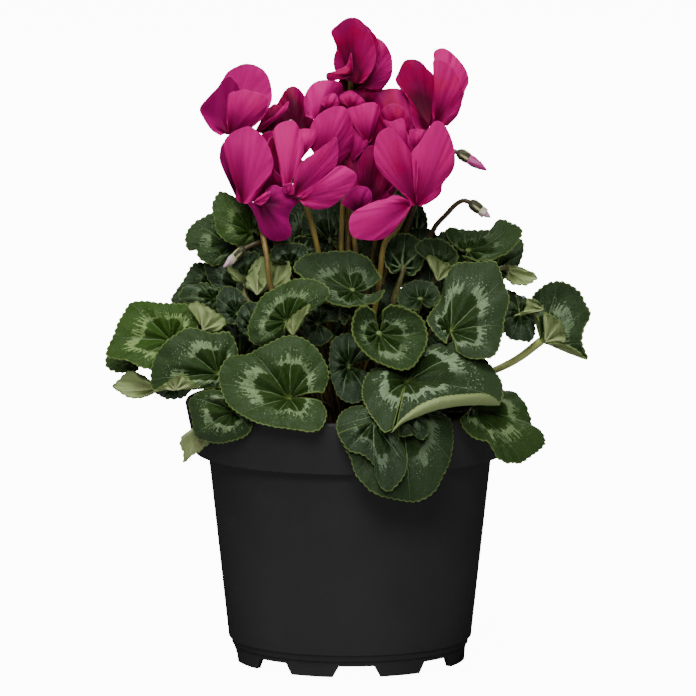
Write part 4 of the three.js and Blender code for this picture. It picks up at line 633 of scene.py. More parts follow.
PETALS["flower_low_middle"] = [
    outline((6, 177.5, -7), -1.5, [
        (-3.5, 181.2), (-1, 185.2), (2.5, 190.2), (3.25, 197.2), (6, 202.7), (8.5, 204.5),
        (10, 203.2), (10.5, 197.2), (12.5, 193.2), (15.25, 190.2), (14.6, 187.2),
        (16, 183.7)], far=-10, tone=-0.2, violet=0.1),
    outline((3, 177.7, -10), -1, [
        (-3.75, 181.6), (-1, 185.2), (3, 188.2), (7.5, 187.2), (8.75, 183.2),
        (7, 180.2)], far=-13, tone=0.15, violet=0.6),
    outline((6, 180, -4), -1.5, [
        (-1, 184, -4), (-1.4, 192, -1), (-1.6, 200, 1), (2, 208, 3), (7.6, 215, 4), (11.4, 218, 5),
        (14.6, 214, 5), (15, 205, 3), (14, 194, 0), (11, 184, -3)], tone=-0.15),
]
PETALS["flower_right"] = [
    outline((26.2, 180.4, -15), -2.5, [
        (22.5, 182.1, -15.6), (21, 185.7, -16.2), (18, 190, -17.2), (14, 192.2, -18.1),
        (11, 195.2, -18.9), (9.75, 198.7, -19.5), (9.4, 201.7, -20), (10, 205.2, -20.5),
        (11, 208.2, -20.9), (13, 210, -21), (15.5, 211, -21), (18, 209.2, -20.5),
        (21, 205.7, -19.8), (24, 201.2, -18.9), (25.75, 197.2, -18.1), (26.75, 193.2, -17.3),
        (26, 187.2, -16.2)], tone=0.45, split=-0.25),
    outline((26.8, 180.6, -16), -2.5, [
        (26, 190.2, -17.6), (25.5, 195.2, -18.5), (24.4, 201.2, -19.6), (27.5, 205.2, -20.3),
        (31, 210.7, -21.4), (34, 213.7, -22), (36.5, 212.7, -21.9), (39, 209.2, -21.5),
        (40.75, 204.2, -20.8), (41.5, 198.2, -20), (40.5, 194.2, -19.3), (36.5, 188.7, -18.1),
        (36, 185.7, -17.8), (32, 182.1, -16.9), (29.5, 181.4, -16.4)], tone=0.6, split=-0.2),
    outline((25.8, 184.7, -22), -0.5, [
        (25.1, 190.2), (25, 195.2), (24.4, 200.7), (26, 198.2), (27.1, 195.2),
        (26.6, 191.2)], far=-24, tone=0.95),
    outline((24.4, 181.3, -16), 2, [
        (21, 183.1, -16.9), (18, 184.5, -17.8), (14, 182.8, -18.6), (11, 182.2, -19.4),
        (6, 180.2, -20.7), (1, 177.2, -22.2), (-0.5, 172.7, -22.9), (1, 168.2, -23),
        (6, 166.8, -22.1), (12, 167, -20.9), (16, 169.2, -19.8), (18.5, 172.2, -18.8),
        (21, 175.2, -17.7), (22.1, 178.7, -16.8)], tone=0.5, violet=0.3),
]

# The buds: where the stem starts and runs, the calyx and the point, and how light and how plump
BUDS = {
    "bud_right_upper": dict(
        foot=(7, 5), neck=(42.6, 202.2, -4), point=(54.4, 194.6, -6), tone=0.85, plump=0.85,
        stem=[(17, 130, 10), (21, 162, 13), (27, 184, 8), (35, 197, 2), (40.4, 202.2, -3)]),
    "bud_right_lower": dict(
        foot=(11, 3.5), neck=(47.6, 182.4, 1), point=(56, 176, 0), tone=0.0, plump=0.85,
        stem=[(23, 130, 10), (29, 160, 9), (34, 172.4, 6), (38.7, 177.6, 4), (42.4, 181.4, 3),
              (45.4, 182.8, 2)]),
    "bud_left": dict(
        foot=(-5.5, -2.5), neck=(-41.6, 164, -11), point=(-50.4, 156, -11), tone=0.0, plump=0.72,
        stem=[(-13, 130, -4), (-26, 155, -1), (-34, 165, -6), (-37, 165.6, -10)]),
}

# A curve's shortest span and the distance that closes a seam, in metres, and a stalk's sides
SHORTEST = 1e-6
WELD = 2e-6
STALK_SIDES = 10


def between(a, b, start, end, t):
    """The point at t on the line that passes a at start and b at end."""
    return a * ((end - t) / (end - start)) + b * ((t - start) / (end - start))


def through(points, per_span):
    """Points of a smooth curve that passes through all the given ones."""
    row = [points[0] * 2 - points[1], *points, points[-1] * 2 - points[-2]]
    curve = []
    for start in range(len(points) - 1):
        a, b, c, d = row[start:start + 4]
        t0 = 0.0
        t1 = t0 + max((b - a).length, SHORTEST) ** 0.5
        t2 = t1 + max((c - b).length, SHORTEST) ** 0.5
        t3 = t2 + max((d - c).length, SHORTEST) ** 0.5
        for step in range(per_span):
            t = t1 + (t2 - t1) * step / per_span
            bc = between(b, c, t1, t2, t)
            abc = between(between(a, b, t0, t1, t), bc, t0, t2, t)
            bcd = between(bc, between(c, d, t2, t3, t), t1, t3, t)
            curve.append(between(abc, bcd, t1, t2, t))
    curve.append(points[-1].copy())
    return curve


def evenly(curve, count):
    """Count + 1 points an even distance apart along a curve, and the curve's length."""
    reach = [0.0]
    for before, after in zip(curve, curve[1:]):
        reach.append(reach[-1] + (after - before).length)
    points = []
    at = 0
    for step in range(count + 1):
        goal = reach[-1] * step / count
        while at < len(curve) - 2 and reach[at + 1] < goal:
            at += 1
        span = reach[at + 1] - reach[at]
        share = (goal - reach[at]) / span if span > 0 else 0.0
        points.append(curve[at].lerp(curve[at + 1], min(max(share, 0.0), 1.0)))
    return points, reach[-1]


def bezier(points, count):
    """Points along a cubic Bezier curve."""
    a, b, c, d = points
    path = []
    for step in range(count + 1):
        t = step / count
        u = 1 - t
        path.append(a * u ** 3 + b * (3 * u * u * t) + c * (3 * u * t * t) + d * t ** 3)
    return path


def edited(operator, **settings):
    """Runs one mesh operator on the whole of the active piece."""
    bpy.ops.object.mode_set(mode="EDIT")
    bpy.ops.mesh.select_all(action="SELECT")
    operator(**settings)
    bpy.ops.object.mode_set(mode="OBJECT")


def skin(name, columns, rows, place, note=None):
    """A grid whose points go where place says, with its seam and poles closed.

    Note, where given, writes the mesh's attributes from each vertex's column and row.
    """
    bpy.ops.object.select_all(action="DESELECT")
    bpy.ops.mesh.primitive_grid_add(x_subdivisions=columns, y_subdivisions=rows, size=1)
    piece = bpy.context.object
    piece.name = piece.data.name = name
    mesh = piece.data
    cells = [(round((vertex.co.x + 0.5) * columns), round((vertex.co.y + 0.5) * rows))
             for vertex in mesh.vertices]
    for vertex, (column, row) in zip(mesh.vertices, cells):
        vertex.co = place(column, row)
    if note:
        note(mesh, cells)
    edited(bpy.ops.mesh.remove_doubles, threshold=WELD)
    return piece


def outwards(piece):
    """Turns the faces of a closed piece outwards."""
    edited(bpy.ops.mesh.normals_make_consistent, inside=False)
    return piece


def turned(name, sides, profile, lobes=0, lobe_depth=0.0):
    """A round piece about the Z axis, from its profile of (radius, height) in millimetres."""
    def place(column, row):
        angle = 2 * math.pi * column / sides
        radius, height = profile[row]
        radius *= 1 + lobe_depth * math.cos(lobes * angle)
        return Vector((radius * math.cos(angle), radius * math.sin(angle), height)) * MM
    return outwards(skin(name, sides, len(profile) - 1, place))


def tube(name, path, radius_at):
    """A round stalk along a path of points, closed at both ends."""
    count = len(path) - 1
    frames = []
    side = Vector((1, 0, 0))
    for step, point in enumerate(path):
        ahead = path[min(step + 1, count)] - path[max(step - 1, 0)]
        ahead.normalize()
        side = (side - ahead * side.dot(ahead)).normalized()
        frames.append((point, side.copy(), ahead.cross(side)))

    def place(column, row):
        if row in (0, count + 2):
            return path[0 if row == 0 else -1]
        point, side, other = frames[row - 1]
        angle = 2 * math.pi * column / STALK_SIDES
        radius = radius_at((row - 1) / count) * MM
        return point + (side * math.cos(angle) + other * math.sin(angle)) * radius
    return outwards(skin(name, STALK_SIDES, count + 2, place))


def apply_modifier(piece, kind, **settings):
    """Adds a modifier with these settings and applies it."""
    modifier = piece.modifiers.new(kind.lower(), kind)
    for setting, value in settings.items():
        setattr(modifier, setting, value)
    bpy.context.view_layer.objects.active = piece
    bpy.ops.object.modifier_apply(modifier=modifier.name)


def dress(piece, *materials):
    """Gives a piece its materials."""
    piece.data.materials.clear()
    for material in materials:
        piece.data.materials.append(material)
    return piece


def thickened(piece, thickness, *materials):
    """Gives a sheet its materials, for its front and, where there is one, its back, and a body."""
    dress(piece, *materials)
    apply_modifier(piece, "SOLIDIFY", thickness=thickness * MM, offset=0.0,
                   material_offset=len(materials) - 1)
    return piece


def toned(piece, tone):
    """Notes the tone of a piece without a blade, for its finish."""
    places = piece.data.attributes.new("blade_place", "FLOAT_VECTOR", "POINT")
    for entry in places.data:
        entry.vector = (0, 0, tone)
    return piece


def joined(name, pieces):
    """One piece of several, under one name."""
    bpy.ops.object.select_all(action="DESELECT")
    for piece in pieces:
        piece.select_set(True)
    bpy.context.view_layer.objects.active = pieces[0]
    if len(pieces) > 1:
        bpy.ops.object.join()
    whole = bpy.context.view_layer.objects.active
    whole.name = whole.data.name = name
    return whole


def finished(piece, node, smooth):
    """Makes a piece stand for its CAD node, with edges sharper than smooth degrees left sharp."""
    bpy.ops.object.select_all(action="DESELECT")
    piece.select_set(True)
    bpy.context.view_layer.objects.active = piece
    bpy.ops.object.shade_smooth_by_angle(angle=math.radians(smooth))
    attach(piece, "root")
    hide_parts(node)


# Camera, lights and the air around
CAMERA_REACH = 2.6
CAMERA_TARGET = Vector((-0.0008, 0, 0.1252))
SENSOR_WIDTH = 36
VIEW_WIDTH = 0.2784
SUN_POWER = 1.3
SUN_SPREAD = math.radians(30)
SUN_DIRECTION = Vector((0.2, 0.45, -1))
AIR_SEEN = 14.0
AIR_LIGHT = 0.02


def placed(name, data, place, towards):
    """Puts a camera or a light at a place, turned towards a direction."""
    made = bpy.data.objects.new(name, data)
    bpy.context.scene.collection.objects.link(made)
    made.location = place
    made.rotation_mode = "QUATERNION"
    made.rotation_quaternion = towards.to_track_quat("-Z", "Y")
    return made


back_to_camera = Vector((0, -math.cos(VIEW_TILT), math.sin(VIEW_TILT)))
lens = bpy.data.cameras.new("camera")
lens.sensor_width = SENSOR_WIDTH
lens.lens = SENSOR_WIDTH * CAMERA_REACH / VIEW_WIDTH
bpy.context.scene.camera = placed(
    "camera", lens, CAMERA_TARGET + back_to_camera * CAMERA_REACH, -back_to_camera)

for name, place, size, power in (
        ("light_front", (-0.1, -2.2, 1.5), 0.8, 34),
        ("light_above", (-0.15, -0.5, 1.5), 0.8, 21),
        ("light_back", (0.0, 2.4, 1.3), 1.4, 32)):
    softbox = bpy.data.lights.new(name, "AREA")
    softbox.size = size
    softbox.energy = power
    placed(name, softbox, place, CAMERA_TARGET - Vector(place))

daylight = bpy.data.lights.new("daylight", "SUN")
daylight.energy = SUN_POWER
daylight.angle = SUN_SPREAD
placed("daylight", daylight, (0, 0, 0), SUN_DIRECTION)

# The air is bright where the camera sees it, and hardly lights the plant
world = bpy.data.worlds.new("studio")
bpy.context.scene.world = world
world.use_nodes = True
air = world.node_tree
background = air.nodes["Background"]
background.inputs["Color"].default_value = (1, 1, 1, 1)
rays = air.nodes.new("ShaderNodeLightPath")
strength = air.nodes.new("ShaderNodeMapRange")
strength.inputs["To Min"].default_value = AIR_LIGHT
strength.inputs["To Max"].default_value = AIR_SEEN
air.links.new(rays.outputs["Is Camera Ray"], strength.inputs["Value"])
air.links.new(strength.outputs["Result"], background.inputs["Strength"])


class Value:
    """A shader value. Arithmetic on it adds Math nodes."""

    def __init__(self, finish, socket):
        self.finish = finish
        self.socket = socket

    def math(self, operation, *rest):
        """A Math node on this value and the rest."""
        return self.finish.node("Math", dict(enumerate([self, *rest])), operation=operation)

    def __add__(self, other):
        return self.math("ADD", other)

    __radd__ = __add__

    def __sub__(self, other):
        return self.math("SUBTRACT", other)

    def __rsub__(self, other):
        return (self * -1.0).math("ADD", other)

    def __mul__(self, other):
        return self.math("MULTIPLY", other)

    __rmul__ = __mul__

    def __truediv__(self, other):
        return self.math("DIVIDE", other)

    def __abs__(self):
        return self.math("ABSOLUTE")

    def step(self, low, high):
        """0 below low and 1 above high, with a soft change between them."""
        return self.finish.node("MapRange", {"Value": self, "From Min": low, "From Max": high},
                                interpolation_type="SMOOTHSTEP")


class Finish:
    """A material, made of a principled shader and what feeds it."""

    def __init__(self, name, roughness, **uniform):
        self.material = bpy.data.materials.new(name)
        self.material.use_nodes = True
        self.tree = self.material.node_tree
        self.shader = self.tree.nodes["Principled BSDF"]
        self.shader.inputs["Roughness"].default_value = roughness
        for socket, value in uniform.items():
            self.shader.inputs[socket.replace("_", " ")].default_value = value

    def node(self, kind, values=None, out=0, **settings):
        """Adds a node with its settings and its sockets' values or links, and gives one output."""
        made = self.tree.nodes.new("ShaderNode" + kind)
        for setting, value in settings.items():
            setattr(made, setting, value)
        for socket, value in (values or {}).items():
            if isinstance(value, Value):
                self.tree.links.new(value.socket, made.inputs[socket])
            else:
                if isinstance(value, tuple) and made.inputs[socket].type == "RGBA":
                    value = (*value, 1)
                made.inputs[socket].default_value = value
        return Value(self, made.outputs[out])

    def feed(self, socket, value):
        """Links a value to the principled shader."""
        self.tree.links.new(value.socket, self.shader.inputs[socket])

    def blend(self, share, first, second):
        """A colour between two colours."""
        return self.node("Mix", {0: share, 6: first, 7: second}, 2, data_type="RGBA")

    def bump(self, height, strength, distance):
        """Relief: how high its heights of 1 stand is distance, in metres."""
        self.feed("Normal", self.node(
            "Bump", {"Height": height, "Strength": strength, "Distance": distance}))

    def vector(self, operation, values):
        """Vector arithmetic."""
        return self.node("VectorMath", values, operation=operation)

    def joint(self, *parts):
        """A vector of up to three parts."""
        return self.node("CombineXYZ", dict(enumerate(parts)))

    def parts(self, vector):
        """The three parts of a vector."""
        split = self.tree.nodes.new("ShaderNodeSeparateXYZ")
        self.tree.links.new(vector.socket, split.inputs[0])
        return [Value(self, socket) for socket in split.outputs]

    def noise(self, where, scale, detail=2.0, out=0):
        """Clouds, around 0.5; with out at 1, three of them as a colour."""
        return self.node("TexNoise", {"Vector": where, "Scale": scale, "Detail": detail}, out)

    def cells(self, where, scale, feature="DISTANCE_TO_EDGE"):
        """Cells: how far it is to their edge or, with F1, to their middle."""
        return self.node("TexVoronoi", {"Vector": where, "Scale": scale}, feature=feature)

    def own_place(self):
        """The place in the piece's own coordinates, in metres."""
        return self.node("TexCoord", out=3)

    def stretched(self, place, scale):
        """A place that changes less along an axis whose scale is small."""
        return self.node("Mapping", {"Vector": place, "Scale": scale})

    def attribute(self, name, out=1):
        """A point attribute: its vector or, with out at 2, its number."""
        return self.node("Attribute", out=out, attribute_name=name)

    def tone(self):
        """The tone that comes with a blade's or a stalk's places."""
        return self.parts(self.attribute("blade_place"))[2]

    def blade_look(self):
        """How strong a blade's marking is (on a petal, how far its halves differ in painted light),
        its number, and how far it is to its edge.
        """
        return self.parts(self.attribute("blade_look"))

    def blade_share(self):
        """How far round the rim, and how far out from the stalk, both from 0 to 1."""
        return self.parts(self.node("UVMap", uv_map="UVMap"))[:2]


# Linear colours. Of a pair, the first is the duller or darker one
LEAF_MIDDLE = ((0.007, 0.017, 0.003), (0.022, 0.056, 0.004))
LEAF_OUTER = ((0.021, 0.035, 0.018), (0.031, 0.067, 0.010))
LEAF_SILVER = ((0.17, 0.235, 0.15), (0.22, 0.32, 0.11))
LEAF_VEIN = (0.13, 0.195, 0.09)
LEAF_ROOT = (0.12, 0.18, 0.02)
LEAF_RIM = (0.13, 0.185, 0.045)
UNDERSIDE = ((0.22, 0.28, 0.11), (0.16, 0.125, 0.07))
UNDERSIDE_VEIN = (0.34, 0.36, 0.19)
UNDERSIDE_RIM = (0.15, 0.20, 0.06)
LEAF_STALK_COLOURS = ((0.035, 0.020, 0.009), (0.32, 0.36, 0.11))
FLOWER_STALK_COLOURS = ((0.030, 0.016, 0.006), (0.22, 0.16, 0.035))
PETAL_PAINTED_SHADE = (0.060, 0.0, 0.014)
PETAL_CRIMSON = ((0.31, 0.0, 0.052), (0.23, 0.0, 0.068))
PETAL_LIGHT = ((0.41, 0.001, 0.122), (0.53, 0.007, 0.172))
PETAL_VIOLET = ((0.07, 0.0, 0.03), (0.38, 0.0, 0.165))
PETAL_ROOT = (0.14, 0.0, 0.025)
PETAL_RIM = (0.60, 0.03, 0.26)
THROAT_COLOURS = ((0.45, 0.48, 0.28), (0.16, 0.0, 0.03))
BUD_PALE = ((0.42, 0.44, 0.28), (0.66, 0.52, 0.56))
BUD_PINK = (0.36, 0.010, 0.17)
SEPAL_DARK = ((0.012, 0.012, 0.005), (0.06, 0.058, 0.024))
SEPAL_PALE = (0.40, 0.40, 0.20)
POT_BLACK = ((0.031, 0.031, 0.0312), (0.037, 0.037, 0.0373))
PEAT_BROWN = ((0.010, 0.007, 0.005), (0.050, 0.032, 0.020))
PEAT_FIBRE = (0.15, 0.10, 0.06)
CORK_BROWN = ((0.055, 0.032, 0.018), (0.17, 0.11, 0.065))
CORK_CRACK = (0.02, 0.012, 0.008)

# The main veins' angle, and the side veins' distance and slant, in a blade's own centimetres
VEIN_TURN = 0.7
VEIN_SPACING = 0.75
VEIN_SLANT = 0.9


def veins_on(finish):
    """How strong the main veins, side veins and net are, how far out it is, and where it is."""
    where = finish.attribute("blade_place")
    sway = finish.vector("SUBTRACT", {0: finish.noise(where, 2.2, 1.0, 1), 1: (0.5, 0.5, 0.5)})
    sway = finish.vector("SCALE", {0: sway, "Scale": 0.12})
    moved = finish.vector("ADD", {0: where, 1: sway})
    across, along, _ = finish.parts(moved)
    _, out = finish.blade_share()
    reach = (across * across + along * along).math("SQRT")
    turn = across.math("ARCTAN2", along) / VEIN_TURN
    sector = turn.math("ROUND")
    off = (turn - sector) * VEIN_TURN
    aside = abs(reach * off.math("SINE"))
    ahead = reach * off.math("COSINE")
    width = 0.046 - out * 0.026
    main = 1.0 - (aside / width).step(0.35, 1.0)
    slant = (ahead - aside * VEIN_SLANT) / VEIN_SPACING + sector * 0.37
    side = abs(slant.math("FRACT") - 0.5) * (VEIN_SPACING / math.hypot(1, VEIN_SLANT))
    branch = (1.0 - side.step(0.004, 0.016)) * out.step(0.12, 0.3)
    net = 1.0 - finish.cells(moved, 9.0).step(0.0, 0.12)
    return main, branch, net, out, moved


def leaf_upper():
    """The upper face: dark green, with a jagged silver zone, pale veins and a yellow-green edge."""
    finish = Finish("leaf_upper", 0.5, Specular_IOR_Level=0.12)
    main, branch, net, out, where = veins_on(finish)
    tone = finish.tone()
    strength, number, edge = finish.blade_look()
    round_rim, _ = finish.blade_share()
    blotch = finish.noise(where, 1.2) - 0.5
    speck = finish.noise(where, 10.0) - 0.5

    # The silver zone: patches of it round the leaf, from a smooth inner to a spiked outer edge
    fan = finish.joint(round_rim * 34.0, out * 1.5, number)
    spike = 1.0 - abs(finish.noise(fan, 1.0) - 0.5).step(0.0, 0.075)
    patch = finish.noise(finish.joint(round_rim * 5.0, number), 1.0, 1.0)
    at = out + blotch * 0.3
    reach = 0.535 + (patch - 0.42) * 0.34 + spike * 0.11 + speck * 0.1
    inner = (at + spike * 0.035 + speck * 0.08).step(0.51, 0.53)
    silver = inner * (1.0 - (at - reach).step(0.0, 0.03))
    grains = 0.55 + finish.noise(where, 24.0, 1.0).step(0.35, 0.6) * 0.45
    silver = silver * patch.step(0.39, 0.5) * (speck + 0.5).step(0.2, 0.4) * grains * strength
    fleck = finish.noise(where, 15.0, 0.0).step(0.68, 0.74)
    fleck = fleck * (1.0 - abs(out - 0.68).step(0.06, 0.16))
    silver = silver.math("MAXIMUM", fleck * strength * 0.7)

    # The tone makes the greens duller or brighter: partly each leaf's own colour, partly painted
    # light and shade, darkest deep in the plant
    middle = finish.blend(tone, *LEAF_MIDDLE)
    outer = finish.blend(tone, *LEAF_OUTER)
    base = finish.blend(at.step(0.44, 0.6) * 0.8 + blotch * 0.3, middle, outer)
    pale = finish.blend(tone, *LEAF_SILVER)
    marked = finish.blend(silver.math("MINIMUM", 1.0) * 0.9, base, pale)
    inside = 1.0 - out.step(0.5, 0.95) * 0.7
    veined = finish.blend(
        (main * 0.85 + branch * 0.25) * inside + net * 0.03, marked, LEAF_VEIN)
    veined = finish.blend((1.0 - out.step(0.0, 0.12)) * 0.6, veined, LEAF_ROOT)
    line = (1.0 - (edge + speck * 0.4).step(0.25, 0.5)) * (0.3 + strength * 0.5)
    finish.feed("Base Color", finish.blend(line.math("MINIMUM", 0.8), veined, LEAF_RIM))
    finish.feed("Roughness", 0.5 + speck * 0.2 + silver * 0.1)
    finish.bump(0.5 - main * 0.6 - branch * 0.4 - net * 0.2 + speck * 0.3, 0.8, 0.0007)
    return finish.material


def leaf_under():
    """The underside: pale yellow-green to beige, flushed with brown, its veins standing out."""
    finish = Finish("leaf_under", 0.6, Specular_IOR_Level=0.15)
    main, branch, net, _, where = veins_on(finish)
    _, _, edge = finish.blade_look()
    flush = finish.noise(where, 1.6, 3.0) + finish.tone() * 0.5 - 0.3
    base = finish.blend(flush.step(0.4, 0.75), *UNDERSIDE)
    veined = finish.blend(main * 0.35 + branch * 0.25 + net * 0.1, base, UNDERSIDE_VEIN)
    line = 1.0 - edge.step(0.28, 0.55)
    finish.feed("Base Color", finish.blend(line * 0.6, veined, UNDERSIDE_RIM))
    finish.bump(main * 0.7 + branch * 0.35 + net * 0.15, 0.6, 0.0005)
    return finish.material


def stalk_finish(name, dark, pale):
    """A stalk: fine lengthwise streaks, darker towards the crown."""
    finish = Finish(name, 0.5, Specular_IOR_Level=0.35)
    place = finish.own_place()
    _, _, height = finish.parts(place)
    streak = finish.noise(finish.stretched(place, (1.0, 1.0, 0.12)), 1400.0)
    mottle = finish.noise(place, 160.0)
    rise = height.step(0.09, 0.2) * 0.35
    share = rise + (streak - 0.5) * 0.6 + (mottle - 0.5) * 0.5 + finish.tone()
    finish.feed("Base Color", finish.blend(share.step(0.0, 1.0), dark, pale))
    finish.bump(streak, 0.4, 0.0003)
    return finish.material


def petal_finish():
    """A petal: silky magenta, streaked from its deeper root, with a bright thin rim and painted
    light and shade.
    """
    finish = Finish("petal", 0.5, Specular_IOR_Level=0.06)
    round_rim, out = finish.blade_share()
    split, number, edge = finish.blade_look()
    # Tone paints light and shade on each petal over its own colour, and split paints one half
    # lighter and the other darker, as across a fold
    tone = finish.tone() + (round_rim.step(0.44, 0.56) - 0.5) * split
    violet = finish.attribute("blade_violet", 2)
    streak = finish.noise(finish.joint(round_rim * 22.0, out * 1.2, number), 1.6, 3.0)
    cloud = finish.noise(finish.attribute("blade_place"), 1.1)
    crimson = finish.blend(cloud.step(0.35, 0.65), *PETAL_CRIMSON)
    light = finish.blend(streak, *PETAL_LIGHT)
    share = (out.step(0.05, 0.95) * 0.6 + (cloud - 0.5) * 0.45 + (streak - 0.5) * 0.15
             + tone * 0.95 - 0.18)
    # The darkest crimson here is painted shade, on the petals and parts that lie in shade
    body = finish.blend(share.step(0.0, 0.4), PETAL_PAINTED_SHADE, crimson)
    body = finish.blend(share.step(0.35, 1.0), body, light)
    body = finish.blend(violet, body, finish.blend(share.step(0.0, 0.9), *PETAL_VIOLET))
    body = finish.blend((1.0 - out.step(0.0, 0.3)) * 0.6, body, PETAL_ROOT)
    rim = 1.0 - edge.step(0.15, 0.45)
    finish.feed("Base Color", finish.blend(rim * 0.25, body, PETAL_RIM))
    finish.feed("Roughness", 0.4 + streak * 0.2)
    finish.bump(streak, 0.22, 0.0004)
    return finish.material


def throat_finish():
    """The corolla's mouth: crimson ring, whitish green within."""
    finish = Finish("throat", 0.5)
    _, out = finish.blade_share()
    finish.feed("Base Color", finish.blend(out.step(0.3, 0.42), *THROAT_COLOURS))
    return finish.material


def bud_finish():
    """Closed petals: white-pink, deeper pink along the twisted seams and at the point."""
    finish = Finish("bud", 0.45, Specular_IOR_Level=0.3)
    turn, along = finish.blade_share()
    seam = 1.0 - abs((turn * 5.0 + along * 1.4).math("FRACT") - 0.5).step(0.02, 0.22)
    pink = (seam * 0.5 + along.step(0.55, 1.0) * 0.35 + finish.tone()).math("MINIMUM", 1.0)
    base = finish.blend(along.step(0.3, 0.6), *BUD_PALE)
    finish.feed("Base Color", finish.blend(pink, base, BUD_PINK))
    return finish.material


def calyx_finish():
    """Sepals: near-black olive with fine ribs, paler between them towards the petals."""
    finish = Finish("calyx", 0.6, Specular_IOR_Level=0.3)
    turn, along = finish.blade_share()
    fleck = finish.noise(finish.own_place(), 900.0, 3.0)
    between = abs((turn * 5.0 + 0.4).math("FRACT") - 0.5).step(0.26, 0.42)
    pale = between * along.step(0.35, 0.7) * 0.9 + (fleck - 0.5) * 0.3
    base = finish.blend(fleck.step(0.3, 0.8), *SEPAL_DARK)
    finish.feed("Base Color", finish.blend(pale.step(0.0, 1.0), base, SEPAL_PALE))
    finish.bump(fleck, 0.4, 0.0003)
    return finish.material


def pot_finish():
    """Black moulded plastic: satin, with faint rings, dust specks and scuffs."""
    finish = Finish("pot_plastic", 0.5, Specular_IOR_Level=0.0)
    place = finish.own_place()
    haze = finish.noise(place, 22.0, 4.0)
    grain = finish.noise(place, 1500.0)
    ring = finish.noise(finish.stretched(place, (0.05, 0.05, 1.0)), 420.0)
    finish.feed("Base Color", finish.blend(haze.step(0.3, 0.75), *POT_BLACK))
    finish.feed("Roughness", 0.42 + haze * 0.14 + ring * 0.06)
    finish.bump(grain * 0.5 + ring * 0.7, 0.12, 0.0003)
    return finish.material


def soil_finish():
    """Peat: dark brown, with paler fibres and crumbs."""
    finish = Finish("peat", 0.95, Specular_IOR_Level=0.2)
    place = finish.own_place()
    crumb = finish.noise(place, 260.0, 5.0)
    fibre = finish.cells(place, 420.0, "F1")
    base = finish.blend(crumb.step(0.3, 0.7), *PEAT_BROWN)
    finish.feed("Base Color", finish.blend(1.0 - fibre.step(0.05, 0.2), base, PEAT_FIBRE))
    finish.bump(crumb + fibre * 0.5, 0.9, 0.001)
    return finish.material


def tuber_finish():
    """Corky skin: brown, cracked and scaly."""
    finish = Finish("cork", 0.85, Specular_IOR_Level=0.2)
    place = finish.own_place()
    scale = finish.noise(place, 180.0, 5.0)
    crack = finish.cells(place, 230.0)
    base = finish.blend(scale, *CORK_BROWN)
    finish.feed("Base Color", finish.blend(1.0 - crack.step(0.0, 0.1), base, CORK_CRACK))
    finish.bump(scale + crack.step(0.0, 0.15) * 0.6, 0.8, 0.0008)
    return finish.material


UPPER = leaf_upper()
UNDER = leaf_under()
LEAF_STALK = stalk_finish("leaf_stalk", *LEAF_STALK_COLOURS)
FLOWER_STALK = stalk_finish("flower_stalk", *FLOWER_STALK_COLOURS)
PETAL = petal_finish()
THROAT = throat_finish()
BUD = bud_finish()
CALYX = calyx_finish()
POT = pot_finish()
PEAT = soil_finish()
CORK = tuber_finish()

# How finely a blade is divided, how its rim is toothed and waved, how far its face is quilted
# between the veins or keeled along its middle, and how thick it is, in millimetres
LEAF_LOOK = dict(spacing=0.55, rows=16, tooth=2.6, tooth_depth=0.95, ruffle=1.0, quilt=0.95,
                 keel=0.0, thickness=0.5)
PETAL_LOOK = dict(spacing=0.7, rows=14, tooth=0.0, tooth_depth=0.0, ruffle=0.6, quilt=0.0,
                  keel=0.9, thickness=0.4)
LONG_WAVE = 1.6
SHORT_WAVE = 0.8
CURVE_STEPS = 10
FARTHEST_EDGE = 5


def facing_of(middle, rim):
    """The direction that a blade's upper face looks in."""
    facing = Vector()
    for first, second in zip(rim, rim[1:]):
        facing += (first - middle).cross(second - middle)
    return facing.normalized()


